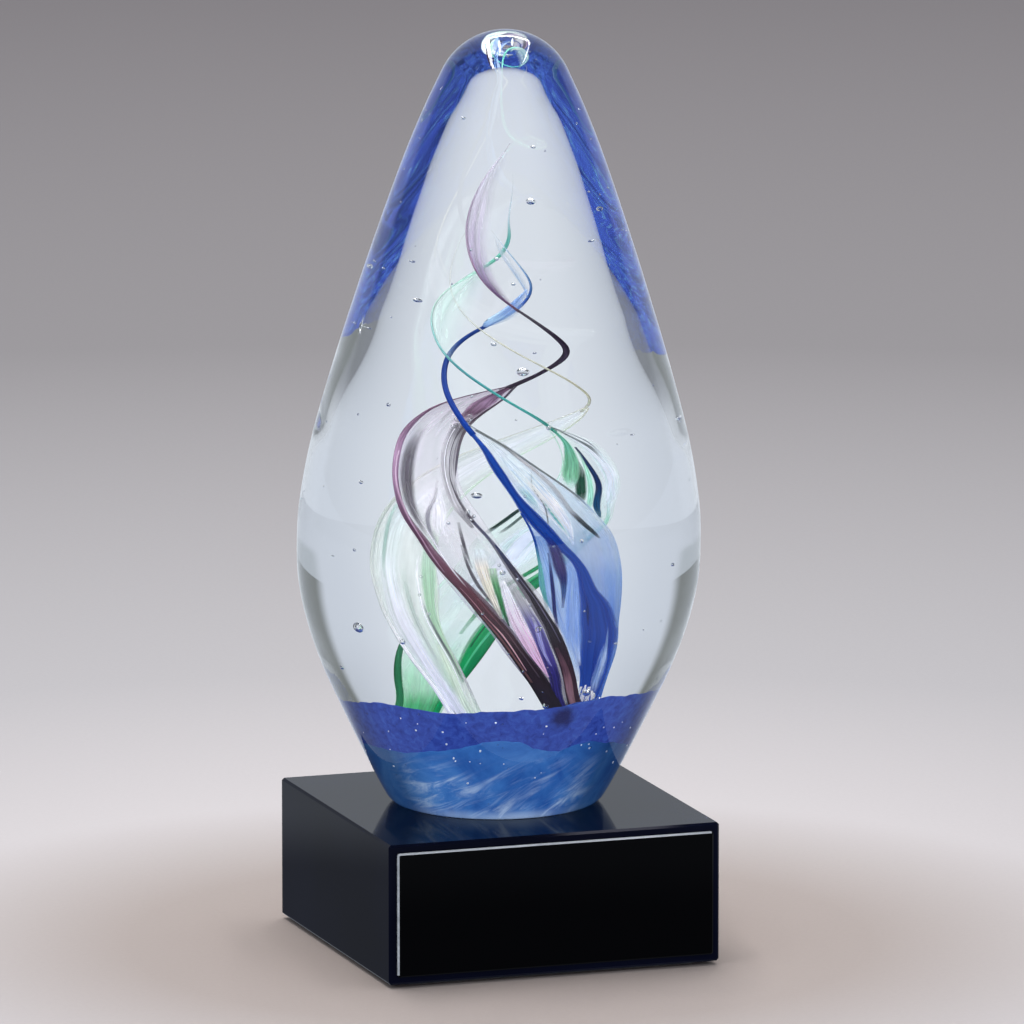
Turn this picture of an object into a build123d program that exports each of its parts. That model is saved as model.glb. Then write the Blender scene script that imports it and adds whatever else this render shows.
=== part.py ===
from build123d import *
import os
from bisect import bisect_right
from math import ceil, cos, radians, sin
from numpy import gradient

# A solid art-glass award: a clear pointed egg with a blue foot and four coloured glass
# ribbons that twist up inside it, bonded to a polished black block with a blank plate.
# The frame's origin is the middle of the resting face, +Z is up and the plate faces -Y.

# ---- Base, in millimetres ----
BLOCK_SIDE = 76.0            # a 3 inch square block
BASE_HEIGHT = 32.0           # from the table to the glass
BLOCK_BEVEL = 0.5            # polished bevel on every edge of the block
FELT_THICKNESS = 0.8
FELT_INSET = 3.0
FELT_CORNER = 4.0
BOND_THICKNESS = 0.2         # clear adhesive between the block and the glass
BOND_RADIUS = 20.5
PLATE_WIDTH = 72.6
PLATE_HEIGHT = 27.4
PLATE_THICKNESS = 0.8
PLATE_CORNER = 0.6
PLATE_BEVEL = 0.3            # polished bevel round the plate's face
TAPE_THICKNESS = 0.2         # adhesive sheet behind the plate
TAPE_INSET = 1.0

# ---- Glass egg: heights are measured from the foot ----
GLASS_HEIGHT = 171.0
BELLY_HEIGHT = 58.0
BELLY_RADIUS = 44.3
LEAN = 0.8                   # degrees that the egg's axis leans towards +X
FOOT_ALLOWANCE = 0.6         # stock ground off the foot to seat it level
FOOT_RADIUS = 21.0           # at the bottom of that stock
EGG_SIDE = [(24.0, 2.0), (33.9, 20.9), (42.0, 41.0), (BELLY_RADIUS, BELLY_HEIGHT), (37.4, 95.6),
            (27.3, 127.7), (17.4, 154.4)]
TIP_RADIUS = 15.2            # the rounded tip is part of a sphere centred on the axis
TIP_JOIN_ANGLE = 26.0        # where the side runs into it, above the level of its centre

# ---- Blue foot inside the egg ----
AZURE_BOTTOM = 1.2
AZURE_TOP = 15.0
COBALT_TOP = 25.2
FOOT_LAYER_SIDE = [(20.0, AZURE_BOTTOM), (26.2, 12.0), (32.7, COBALT_TOP)]

# ---- Glass ribbons: every ribbon is a pale veil between two coloured canes ----
ROOT_HEIGHT = 25.6           # the ribbons' roots stand just clear of the blue foot
FILM = 0.3                   # clear glass between a veil and its canes
SECTION_STEP = 4.0
VEIL_LEAST_RADIUS = 0.7      # the veil ends where it would be thinner than this
INNER_CANE_RATIO = 0.8       # an inner cane against its outer cane

# Rows of height, distance from the axis, turn in degrees, and half the ribbon's spread.
PURPLE = [(ROOT_HEIGHT, 12.0, -38, 4.0), (40, 11.5, -80, 5.0), (52, 11.5, -118, 5.2), (64, 11.5, -160, 5.0),
          (74, 11.0, -210, 4.6), (84, 11.2, -267, 3.2), (92, 10.0, -325, 0.6), (100, 9.8, -383, 0.0),
          (108, 8.5, -436, 0.0), (116, 6.4, -490, 0.0), (126, 4.4, -545, 0.0), (136, 3.2, -605, 0.0),
          (144, 2.2, -660, 0.0)]
BLUE = [(ROOT_HEIGHT, 15.5, 34, 3.4), (40, 14.8, 8, 4.8), (52, 14.6, -24, 5.8), (64, 13.6, -56, 5.5),
        (74, 11.3, -92, 3.9), (84, 9.2, -145, 0.6), (92, 8.3, -196, 0.0), (100, 7.6, -256, 0.0),
        (108, 5.6, -329, 0.0), (116, 4.2, -397, 0.0), (126, 3.3, -476, 0.0)]
GREEN = [(ROOT_HEIGHT, 17.0, -243, 4.0), (40, 16.5, -262, 4.3), (52, 15.0, -302, 4.2), (64, 14.2, -350, 3.6),
         (74, 13.4, -387, 3.0), (84, 12.1, -426, 0.6), (92, 11.2, -473, 0.0), (100, 10.5, -526, 0.0),
         (108, 9.2, -574, 0.0), (116, 6.4, -630, 0.0), (126, 3.0, -690, 0.0), (138, 2.2, -760, 0.0)]
IVORY = [(ROOT_HEIGHT, 11.5, -128, 3.2), (40, 12.0, -162, 4.2), (52, 13.0, -200, 4.6), (64, 14.4, -248, 4.4),
         (74, 15.4, -292, 3.6), (84, 14.4, -343, 0.6), (92, 12.2, -394, 0.0), (100, 11.1, -449, 0.0),
         (108, 9.7, -504, 0.0), (116, 7.6, -557, 0.0), (126, 6.4, -610, 0.0)]

# Name, path, and the side of the ribbon that its outer cane takes at the root and higher up.
FLANK_SETTLED = 74.0         # height from which the cane keeps to its upper side
RIBBONS = [("purple", PURPLE, 160, 160), ("blue", BLUE, -30, -200), ("green", GREEN, 160, 160),
           ("ivory", IVORY, 160, 160)]

# Rows of height and radius of an outer cane: thick at the root, a thread towards the tip.
CANE_TAPER = [(ROOT_HEIGHT, 1.5), (52, 1.4), (74, 1.1), (92, 0.6), (116, 0.5), (144, 0.3)]

# ---- Seed bubbles: rows of height, distance from the axis, angle and radius ----
BUBBLES = [(132.4, 6.0, -46, 0.9), (94.3, 4.1, -40, 1.1), (119.7, 3.2, -110, 0.4), (113.5, 2.5, -30, 0.4),
           (100.7, 3.0, -120, 0.5), (89.9, 25.0, -163, 0.5), (72.3, 26.5, -175, 0.5), (66.6, 26.0, -130, 0.4),
           (43.8, 29.0, -170, 1.2), (42.0, 27.0, -150, 0.6), (59.8, 33.0, -165, 0.4), (41.2, 29.0, -60, 0.4),
           (55.1, 33.0, -35, 0.5), (62.7, 28.0, -75, 0.4), (31.0, 25.0, -68, 0.9), (30.5, 22.0, -98, 0.5),
           (78.0, 27.0, 20, 0.5), (62.0, 30.0, 75, 0.6), (48.0, 30.0, 120, 0.7), (105.0, 20.0, 95, 0.5),
           (150.0, 5.0, 160, 0.4), (143.0, 6.0, 10, 0.4), (34.5, 27.0, 170, 0.5), (36.0, 28.0, 30, 0.6)]

os.makedirs("parts", exist_ok=True)


def at_height(rows, column, height):
    """Read one column of the rows at a height, on a smooth curve through its values."""
    heights = [row[0] for row in rows]
    values = [row[column] for row in rows]
    slopes = gradient(values, heights)
    i = min(max(bisect_right(heights, height) - 1, 0), len(heights) - 2)
    span = heights[i + 1] - heights[i]
    rise = values[i + 1] - values[i]
    t = (height - heights[i]) / span
    leave = slopes[i] * span - rise
    arrive = rise - slopes[i + 1] * span
    return values[i] + t * rise + t * (1 - t) * ((1 - t) * leave + t * arrive)


def cane_radius(height):
    return at_height(CANE_TAPER, 1, height)


def section_heights(path):
    """Evenly spaced heights from the root to the tip of a ribbon's path."""
    top = path[-1][0]
    count = ceil((top - ROOT_HEIGHT) / SECTION_STEP)
    return [ROOT_HEIGHT + (top - ROOT_HEIGHT) * i / count for i in range(count + 1)]


def ribbon_centre(path, height):
    distance = at_height(path, 1, height)
    turn = radians(at_height(path, 2, height))
    return distance * cos(turn), distance * sin(turn)


def spread(path, height):
    return max(at_height(path, 3, height), 0.0)


def flank(height, root_angle, upper_angle):
    """Direction from the ribbon's centre to its outer cane."""
    share = min((height - ROOT_HEIGHT) / (FLANK_SETTLED - ROOT_HEIGHT), 1.0)
    return radians(root_angle + (upper_angle - root_angle) * share)


def veil_radius(path, height):
    return spread(path, height) - cane_radius(height) - FILM


def write(builder, name):
    builder.part.label = name
    export_step(builder.part, f"parts/{name}.step")


def loft_rounds(name, rounds):
    """Loft a piece through level circles, given as rows of x, y, height above the foot, radius."""
    with BuildPart() as piece:
        for x, y, height, radius in rounds:
            with BuildSketch(Plane((x, y, BASE_HEIGHT + height))):
                Circle(radius)
        loft()
    write(piece, name)
    return piece


# ---- Base ----
with BuildPart() as base_felt:
    with BuildSketch():
        RectangleRounded(BLOCK_SIDE - 2 * FELT_INSET, BLOCK_SIDE - 2 * FELT_INSET, FELT_CORNER)
    extrude(amount=FELT_THICKNESS)
write(base_felt, "base_felt")

block_top = BASE_HEIGHT - BOND_THICKNESS
with BuildPart() as base_block:
    with BuildSketch(Plane.XY.offset(FELT_THICKNESS)):
        Rectangle(BLOCK_SIDE, BLOCK_SIDE)
    extrude(amount=block_top - FELT_THICKNESS)
    chamfer(base_block.edges(), BLOCK_BEVEL)
write(base_block, "base_block")

plate_middle = (FELT_THICKNESS + block_top) / 2
tape_plane = Plane((0, -BLOCK_SIDE / 2, plate_middle), x_dir=(1, 0, 0), z_dir=(0, -1, 0))
with BuildPart() as plate_adhesive:
    with BuildSketch(tape_plane):
        Rectangle(PLATE_WIDTH - 2 * TAPE_INSET, PLATE_HEIGHT - 2 * TAPE_INSET)
    extrude(amount=TAPE_THICKNESS)
write(plate_adhesive, "plate_adhesive")

with BuildPart() as name_plate:
    with BuildSketch(tape_plane.offset(TAPE_THICKNESS)):
        RectangleRounded(PLATE_WIDTH, PLATE_HEIGHT, PLATE_CORNER)
    extrude(amount=PLATE_THICKNESS)
    chamfer(name_plate.faces().sort_by(Axis.Y)[0].edges(), PLATE_BEVEL)
write(name_plate, "name_plate")

foot_x = -BELLY_HEIGHT * sin(radians(LEAN))
with BuildPart() as glass_bond:
    with BuildSketch(Plane((foot_x, 0, block_top))):
        Circle(BOND_RADIUS)
    extrude(amount=BOND_THICKNESS)
write(glass_bond, "glass_bond")

# ---- Ribbons ----
ribbon_pieces = []
for colour, path, root_flank, upper_flank in RIBBONS:
    heights = section_heights(path)
    veil_heights = [h for h in heights if veil_radius(path, h) > VEIL_LEAST_RADIUS]
    veil = [(*ribbon_centre(path, h), h, veil_radius(path, h)) for h in veil_heights]
    ribbon_pieces.append(loft_rounds(f"{colour}_veil", veil))

    outer = []
    inner = []
    for h in heights:
        x, y = ribbon_centre(path, h)
        reach = spread(path, h)
        angle = flank(h, root_flank, upper_flank)
        outer.append((x + reach * cos(angle), y + reach * sin(angle), h, cane_radius(h)))
        if h in veil_heights:
            thinner = INNER_CANE_RATIO * cane_radius(h)
            inner.append((x - reach * cos(angle), y - reach * sin(angle), h, thinner))
    ribbon_pieces.append(loft_rounds(f"{colour}_cane", outer))
    ribbon_pieces.append(loft_rounds(f"{colour}_inner_cane", inner))

# ---- Egg and its blue foot, drawn on a plane whose Y runs up the leaning axis ----
lean = radians(LEAN)
egg_plane = Plane((0, 0, BASE_HEIGHT + BELLY_HEIGHT), x_dir=(cos(lean), 0, -sin(lean)), z_dir=(0, -1, 0))
egg_axis = Axis(egg_plane.origin, egg_plane.y_dir)


def on_egg(radius, height):
    """A point of the egg's half section, from its radius and its height above the foot."""
    return (radius, height - BELLY_HEIGHT)


def foot_layer(name, kept_side):
    """The part of the blue foot on one side of the level where azure meets cobalt."""
    with BuildPart() as layer:
        with BuildSketch(egg_plane):
            with BuildLine():
                ThreePointArc(*[on_egg(*point) for point in FOOT_LAYER_SIDE])
                Polyline(on_egg(*FOOT_LAYER_SIDE[0]), on_egg(0, AZURE_BOTTOM), on_egg(0, COBALT_TOP),
                         on_egg(*FOOT_LAYER_SIDE[-1]))
            make_face()
        revolve(axis=egg_axis)
        split(bisect_by=Plane.XY.offset(BASE_HEIGHT + AZURE_TOP), keep=kept_side)
    write(layer, name)
    return layer


azure_foot = foot_layer("azure_foot", Keep.BOTTOM)
cobalt_pad = foot_layer("cobalt_pad", Keep.TOP)

with BuildPart() as clear_casing:
    with BuildSketch(egg_plane):
        with BuildLine():
            tip_centre = on_egg(0, GLASS_HEIGHT - TIP_RADIUS)
            tip = CenterArc(tip_centre, TIP_RADIUS, TIP_JOIN_ANGLE, 90 - TIP_JOIN_ANGLE)
            side = Spline(*[on_egg(*point) for point in EGG_SIDE], tip @ 0)
            Polyline(tip @ 1, on_egg(0, -FOOT_ALLOWANCE), on_egg(FOOT_RADIUS, -FOOT_ALLOWANCE), side @ 0)
        make_face()
    revolve(axis=egg_axis)
    split(bisect_by=Plane.XY.offset(BASE_HEIGHT), keep=Keep.TOP)
    for piece in [azure_foot, cobalt_pad, *ribbon_pieces]:
        add(piece.part, mode=Mode.SUBTRACT)
    for height, distance, angle, radius in BUBBLES:
        x = distance * cos(radians(angle))
        y = distance * sin(radians(angle))
        with Locations((x, y, BASE_HEIGHT + height)):
            Sphere(radius, mode=Mode.SUBTRACT)
write(clear_casing, "clear_casing")
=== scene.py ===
import math
import random
from bisect import bisect_right

import bmesh
import bpy
from mathutils import Euler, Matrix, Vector, noise


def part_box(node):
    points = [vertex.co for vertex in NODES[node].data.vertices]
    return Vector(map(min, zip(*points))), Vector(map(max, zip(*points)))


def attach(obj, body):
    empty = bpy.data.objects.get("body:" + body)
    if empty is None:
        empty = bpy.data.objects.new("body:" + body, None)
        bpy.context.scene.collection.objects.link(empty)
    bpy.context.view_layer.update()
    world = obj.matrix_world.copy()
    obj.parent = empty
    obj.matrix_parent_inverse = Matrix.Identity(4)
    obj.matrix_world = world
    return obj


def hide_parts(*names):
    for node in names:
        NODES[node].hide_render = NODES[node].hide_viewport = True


# Looks of the crystal award. Everything is in metres in the CAD's frame: +Z up, the plate
# faces -Y, and the resting face is at z = 0. Heights, distances and sizes in rows are in mm,
# and heights in the glass are measured from the egg's foot.

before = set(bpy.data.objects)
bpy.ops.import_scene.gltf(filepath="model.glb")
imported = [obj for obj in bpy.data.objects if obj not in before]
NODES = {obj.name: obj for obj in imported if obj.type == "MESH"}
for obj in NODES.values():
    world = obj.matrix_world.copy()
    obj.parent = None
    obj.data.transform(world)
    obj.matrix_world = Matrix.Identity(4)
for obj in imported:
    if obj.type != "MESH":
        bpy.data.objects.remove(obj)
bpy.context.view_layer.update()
MM = 0.001

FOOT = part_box("clear_casing")[0].z
BELLY = 58.0 * MM                # where the egg's leaning axis crosses the upright one
LEAN = math.radians(0.8)

# The photographed side, and level directions as seen from it.
VIEW_AZIMUTH = math.radians(-18.876)
RIGHTWARD = Vector((math.cos(VIEW_AZIMUTH), math.sin(VIEW_AZIMUTH), 0))
LEFTWARD = -RIGHTWARD
FRONTWARD = Vector((math.sin(VIEW_AZIMUTH), -math.cos(VIEW_AZIMUTH), 0))

# ---------------------------------------------------------------- curves and meshes


def at_height(rows, column, height):
    """Read one column of the rows at a height, on a smooth curve through its values."""
    heights = [row[0] for row in rows]
    values = [row[column] for row in rows]
    last = len(rows) - 1
    i = min(max(bisect_right(heights, height) - 1, 0), last - 1)

    def slope(k):
        below, above = max(k - 1, 0), min(k + 1, last)
        return (values[above] - values[below]) / (heights[above] - heights[below])

    span = heights[i + 1] - heights[i]
    rise = values[i + 1] - values[i]
    t = (height - heights[i]) / span
    leave = slope(i) * span - rise
    arrive = rise - slope(i + 1) * span
    return values[i] + t * rise + t * (1 - t) * ((1 - t) * leave + t * arrive)


def ramp(low, high, value):
    """Smooth step from 0 at low to 1 at high."""
    t = min(max((value - low) / (high - low), 0.0), 1.0)
    return t * t * (3 - 2 * t)


def on_axis(height):
    """A point of the leaning axis."""
    return Vector((math.tan(LEAN) * (height * MM - BELLY), 0, FOOT + height * MM))


def around(height, reach, angle):
    """A point at a distance from the leaning axis."""
    return on_axis(height) + Vector((reach * MM * math.cos(angle), reach * MM * math.sin(angle), 0))


def upright(height, reach, angle):
    """A point at a distance from the upright axis."""
    return Vector((reach * MM * math.cos(angle), reach * MM * math.sin(angle), FOOT + height * MM))


def add_object(name, mesh, material, replaces=()):
    piece = bpy.data.objects.new(name, mesh)
    bpy.context.collection.objects.link(piece)
    mesh.materials.append(material)
    for face in mesh.polygons:
        face.use_smooth = True
    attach(piece, "root")
    if replaces:
        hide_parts(*replaces)


def mesh_of(form, name):
    """Turn a bmesh into a mesh."""
    mesh = bpy.data.meshes.new(name)
    form.to_mesh(mesh)
    form.free()
    return mesh


def closed_mesh(name, tubes, fan=True):
    """Mesh of tubes through rings of points, closed at both ends by faces round a middle point.

    U runs round a ring and V along the rings. Without fan, U is even over each face of an end.
    """
    points, faces, uvs = [], [], []
    for rings in tubes:
        count, last, first = len(rings[0]), len(rings) - 1, len(points)
        points.extend(point for ring in rings for point in ring)
        points.extend(sum(rings[j], Vector()) / count for j in (0, last))
        for j in range(last):
            low, high = j / last, (j + 1) / last
            for k in range(count):
                a, b = first + j * count + k, first + j * count + (k + 1) % count
                start, stop = k / count, (k + 1) / count
                faces.append((a, b, b + count, a + count))
                uvs.append(((start, low), (stop, low), (stop, high), (start, high)))
        for end, j in enumerate((0, last)):
            middle = first + count * len(rings) + end
            for k in range(count):
                a, b = first + j * count + k, first + j * count + (k + 1) % count
                start, stop = k / count, ((k + 1) / count if fan else k / count)
                faces.append((a, b, middle) if end else (b, a, middle))
                uvs.append([(u, float(end)) for u in ((start, stop) if end else (stop, start))])
                uvs[-1].append((0.5 if fan else start, float(end)))
    mesh = bpy.data.meshes.new(name)
    mesh.from_pydata([tuple(point) for point in points], [], faces)
    layer = mesh.uv_layers.new(name="UVMap")
    for face, corners in zip(mesh.polygons, uvs):
        for i, corner in zip(face.loop_indices, corners):
            layer.data[i].uv = corner
    return mesh


# ---------------------------------------------------------------- material helpers


def new_material(name):
    """An empty material, its node tree and the outputs of its texture coordinates."""
    material = bpy.data.materials.new(name)
    material.use_nodes = True
    tree = material.node_tree
    tree.nodes.clear()
    return material, tree, node(tree, "TexCoord").outputs


def node(tree, kind, inputs=None, **settings):
    """Add a node, set its settings, and set or link its inputs."""
    made = tree.nodes.new("ShaderNode" + kind)
    for key, value in settings.items():
        setattr(made, key, value)
    for key, value in (inputs or {}).items():
        if isinstance(value, bpy.types.NodeSocket):
            tree.links.new(value, made.inputs[key])
        else:
            made.inputs[key].default_value = value
    return made


def show(tree, inputs, kind="BsdfPrincipled", output="OutputMaterial"):
    """Make a shader the surface of its material or world."""
    shader = node(tree, kind, inputs)
    tree.links.new(shader.outputs[0], node(tree, output).inputs["Surface"])


def colour_ramp(tree, factor, stops):
    made = node(tree, "ValToRGB", {"Fac": factor})
    elements = made.color_ramp.elements
    while len(elements) < len(stops):
        elements.new(0.5)
    for element, (place, colour) in zip(elements, stops):
        element.position = place
        element.color = (*colour, 1.0)
    return made.outputs[0]


def math_node(tree, operation, a, b, clamp=False):
    return node(tree, "Math", {0: a, 1: b}, operation=operation, use_clamp=clamp).outputs[0]


def times(tree, value, *factors):
    for factor in factors:
        value = math_node(tree, "MULTIPLY", value, factor)
    return value


def vector_node(tree, operation, a, b=None, output="Vector"):
    inputs = {0: a} if b is None else {0: a, 1: b}
    return node(tree, "VectorMath", inputs, operation=operation).outputs[output]


def noise_of(tree, place, scale, detail, roughness=0.5, distortion=0.0):
    return node(tree, "TexNoise", {"Vector": place, "Scale": scale, "Detail": detail, "Roughness": roughness,
                                   "Distortion": distortion}).outputs["Fac"]


def even_range(tree, value, low, high, to_low, to_high):
    return node(tree, "MapRange", {"Value": value, "From Min": low, "From Max": high, "To Min": to_low,
                                   "To Max": to_high}).outputs[0]


def smooth_range(tree, value, low, high):
    return node(tree, "MapRange", {"Value": value, "From Min": low, "From Max": high},
                interpolation_type="SMOOTHSTEP").outputs[0]


def mixed_colour(tree, factor, a, b, blend="MIX"):
    made = node(tree, "Mix", data_type="RGBA", blend_type=blend)
    for socket, value in ((0, factor), (6, a), (7, b)):
        if isinstance(value, bpy.types.NodeSocket):
            tree.links.new(value, made.inputs[socket])
        else:
            made.inputs[socket].default_value = value if socket == 0 else (*value, 1.0)
    return made.outputs[2]


def dimmed(tree, shade, share):
    """Colour multiplied by a number that varies over the surface."""
    grey = node(tree, "CombineXYZ", {0: share, 1: share, 2: share}).outputs[0]
    return mixed_colour(tree, 1.0, shade, grey, "MULTIPLY")


def turn_to(tree, place, side):
    """Cosine of the level turn from a side to where a point lies or a direction points."""
    level = vector_node(tree, "NORMALIZE", vector_node(tree, "MULTIPLY", place, (1, 1, 0)))
    return vector_node(tree, "DOT_PRODUCT", level, tuple(side), "Value")


def clear_glass(name, ior):
    """Refracting glass that lets shadow rays through, so that what is inside it is lit."""
    material, tree, coordinates = new_material(name)
    glass = node(tree, "BsdfGlass", {"IOR": ior, "Roughness": 0.0})
    through = node(tree, "BsdfTransparent")
    path = node(tree, "LightPath").outputs
    show(tree, {0: path["Is Shadow Ray"], 1: glass.outputs[0], 2: through.outputs[0]}, "MixShader")
    return material


# ---------------------------------------------------------------- camera

VIEW_ELEVATION = math.radians(10.821)
VIEW_DISTANCE = 3.0
VIEW_RIGHT_OFFSET = 0.002918
VIEW_HEIGHT = 0.096211
VIEW_LENS = 481.4
SENSOR_WIDTH = 36
CLIP_END = 60

to_camera = Vector((math.sin(VIEW_AZIMUTH) * math.cos(VIEW_ELEVATION),
                    -math.cos(VIEW_AZIMUTH) * math.cos(VIEW_ELEVATION), math.sin(VIEW_ELEVATION)))
camera_data = bpy.data.cameras.new("camera")
camera_data.lens = VIEW_LENS
camera_data.sensor_width = SENSOR_WIDTH
camera_data.clip_end = CLIP_END
camera = bpy.data.objects.new("camera", camera_data)
camera.location = RIGHTWARD * VIEW_RIGHT_OFFSET + Vector((0, 0, VIEW_HEIGHT)) + to_camera * VIEW_DISTANCE
camera.rotation_euler = (-to_camera).to_track_quat("-Z", "Y").to_euler()
bpy.context.collection.objects.link(camera)
bpy.context.scene.camera = camera

# ---------------------------------------------------------------- floor and light

STUDIO = (0.735, 0.79, 0.86)            # pale cool light from behind and all round
SIDE_DIM = (0.60, 0.655, 0.74)          # the same light, further to the sides
FRONT_DARK = (0.045, 0.047, 0.055)      # the unlit room on the camera's side
SIDE_GREY = (0.15, 0.165, 0.155)        # dark flags at both sides, which shape the glass
FAR_SIDE = (0.44, 0.49, 0.54)           # the floor's far ends, left and right, seen through the glass
UNDER_SHADE = (0.24, 0.26, 0.30)        # painted shadow in the floor's glow beside the block, seen through the glass
# Where these begin and are complete: cosines of the turn from their side, then metres from the middle.
DIM_REACH, FLAG_REACH, DARK_REACH = (0.15, 0.65), (0.74, 0.84), (0.15, 0.6)
FAR_REACH, UNDER_REACH = (0.7, 1.0), (0.17, 0.10)
# The paper as the camera sees it: share of PAPER_REACH from the middle, and its colour there.
FLOOR_SHADES = [(0.0, (0.37, 0.30, 0.27)), (0.055, (0.37, 0.315, 0.29)), (0.10, (0.50, 0.46, 0.455)),
                (0.20, (0.37, 0.348, 0.350)), (0.50, (0.200, 0.187, 0.189)), (1.0, (0.152, 0.138, 0.141))]
PAPER_REACH, FLOOR_RADIUS = 1.5, 14.0


def studio(tree, direction):
    """The pale light in a direction, and how far that points to a flag at either side."""
    to_right = turn_to(tree, direction, RIGHTWARD)
    to_side = node(tree, "Math", {0: to_right}, operation="ABSOLUTE").outputs[0]
    pale = mixed_colour(tree, smooth_range(tree, to_side, *DIM_REACH), STUDIO, SIDE_DIM)
    return pale, smooth_range(tree, to_side, *FLAG_REACH)


def make_floor():
    """Paper for the camera, and for the glass a glowing surface in the studio's light."""
    form = bmesh.new()
    bmesh.ops.create_circle(form, cap_ends=True, radius=FLOOR_RADIUS, segments=96)
    mesh = mesh_of(form, "floor")
    material, tree, coordinates = new_material("floor_paper")
    place = coordinates["Object"]
    distance = vector_node(tree, "LENGTH", place, output="Value")
    shade = colour_ramp(tree, even_range(tree, distance, 0.0, PAPER_REACH, 0.0, 1.0), FLOOR_SHADES)
    fibre = noise_of(tree, place, 900.0, 3.0)
    grain = even_range(tree, fibre, 0.0, 1.0, 0.97, 1.03)
    paper = node(tree, "BsdfDiffuse", {"Color": mixed_colour(tree, 1.0, shade, grain, "MULTIPLY")})
    pale, flags = studio(tree, place)
    far = times(tree, flags, smooth_range(tree, distance, *FAR_REACH))
    shade = mixed_colour(tree, far, pale, FAR_SIDE)
    # Painted shadow: the floor's glow is dimmer close beside the block.
    shade = mixed_colour(tree, smooth_range(tree, distance, *UNDER_REACH), shade, UNDER_SHADE)
    path = node(tree, "LightPath").outputs
    shade = mixed_colour(tree, path["Is Diffuse Ray"], shade, STUDIO)
    glow = node(tree, "Emission", {"Color": shade, "Strength": 1.0})
    show(tree, {0: path["Is Camera Ray"], 1: glow.outputs[0], 2: paper.outputs[0]}, "MixShader")
    mesh.materials.append(material)
    floor = bpy.data.objects.new("floor", mesh)
    bpy.context.collection.objects.link(floor)


def make_world():
    """Pale behind, grey flags at the sides above the horizon, dark on the camera's side."""
    world = bpy.data.worlds.new("studio")
    bpy.context.scene.world = world
    world.use_nodes = True
    tree = world.node_tree
    tree.nodes.clear()
    direction = node(tree, "TexCoord").outputs["Generated"]
    pale, flags = studio(tree, direction)
    shade = mixed_colour(tree, flags, pale, SIDE_GREY)
    in_front = smooth_range(tree, turn_to(tree, direction, FRONTWARD), *DARK_REACH)
    shade = mixed_colour(tree, in_front, shade, FRONT_DARK)
    shade = mixed_colour(tree, node(tree, "LightPath").outputs["Is Diffuse Ray"], shade, STUDIO)
    show(tree, {"Color": shade, "Strength": 1.0}, "Background", "OutputWorld")


# Strips of a tall overhead softbox with a dark middle: centre across and back, and size, in metres.
SOFTBOX_STRIPS = [("left", -0.37, 0.28, 0.085, 1.70), ("right", 0.52, 0.42, 0.032, 1.30),
                  ("back", 0.07, 1.12, 0.90, 0.15), ("inner", -0.12, 0.35, 0.04, 0.6),
                  ("thin", 0.14, 0.62, 0.03, 0.5)]
SOFTBOX_HEIGHT = 1.25
STRIP_RADIANCE = 19.0


def make_lights():
    """Narrow strips round a tall overhead softbox, whose reflection sits at the egg's tip."""
    for label, side, depth, width, length in SOFTBOX_STRIPS:
        data = bpy.data.lights.new(f"softbox_{label}", "AREA")
        data.shape = "RECTANGLE"
        data.size = width
        data.size_y = length
        data.energy = STRIP_RADIANCE * math.pi * width * length
        lamp = bpy.data.objects.new(data.name, data)
        lamp.location = RIGHTWARD * side - FRONTWARD * depth + Vector((0, 0, SOFTBOX_HEIGHT))
        lamp.rotation_euler = (0, 0, VIEW_AZIMUTH)
        bpy.context.collection.objects.link(lamp)


make_floor()
make_world()
make_lights()
scene = bpy.context.scene
scene.view_settings.view_transform = "Standard"
scene.cycles.max_bounces = 32
scene.cycles.glossy_bounces = 24
scene.cycles.transmission_bounces = 24
scene.cycles.transparent_max_bounces = 32

# ---------------------------------------------------------------- the glass egg

# Rows of height and radius. Above them the egg ends in a round tip.
EGG_SIDE = [(0, 21.5), (0.5, 22.8), (2, 24.2), (10.2, 28.6), (20.9, 33.9), (31, 38.6), (41, 42.1),
    (50, 43.95), (58, 44.3), (66, 43.95), (79.6, 41.65), (95.6, 37.4), (111.7, 32.5), (127.7, 27.3),
    (143.7, 21.7), (154.4, 17.4), (162.4, 13.7)]
TIP_RADIUS = 15.2
TIP_CENTRE = 171.0 - TIP_RADIUS
TIP_START = 26                          # elevation in degrees where the tip's rings begin
RIPPLE_SLOW, RIPPLE_FAST = 0.030, 0.010     # how deep hand-worked glass waves
INSET = 0.04                            # keeps the waves inside the measured size
GLASS_IOR = 1.5


def egg_radius(height):
    if height < EGG_SIDE[-1][0]:
        return at_height(EGG_SIDE, 1, height)
    return math.sqrt(max(TIP_RADIUS ** 2 - (height - TIP_CENTRE) ** 2, 0.0))


def casing_ripple(angle, height):
    """Slow waves of hand-worked glass with finer upright streaks, none at the foot and the tip."""
    round_x, round_y = math.cos(angle), math.sin(angle)
    slow = 0.5 + 0.5 * noise.noise(Vector((1.7 * round_x, 1.7 * round_y, 0.030 * height)))
    fast = 0.5 + 0.5 * noise.noise(Vector((9.0 * round_x, 9.0 * round_y, 0.022 * height + 7)))
    return INSET + (RIPPLE_SLOW * slow + RIPPLE_FAST * fast) * ramp(0, 8, height) * ramp(168, 150, height)


def egg_mesh(name, count=256):
    heights = [0.0, 0.2, 0.5, 1.0, 1.5, 2.0] + [2.0 + 1.25 * i for i in range(1, 129)]
    profile = [(egg_radius(height), height) for height in heights]
    for i in range(1, 24):
        angle = math.radians(TIP_START + (90 - TIP_START) * i / 24)
        profile.append((TIP_RADIUS * math.cos(angle), TIP_CENTRE + TIP_RADIUS * math.sin(angle)))
    angles = [2 * math.pi * k / count for k in range(count)]
    rings = [[around(height, radius - casing_ripple(angle, height), angle) for angle in angles]
             for radius, height in profile]
    return closed_mesh(name, [rings])


add_object("glass_egg", egg_mesh("glass_egg"), clear_glass("casing_glass", GLASS_IOR),
           ["clear_casing"])

# ---------------------------------------------------------------- blue foot

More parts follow.
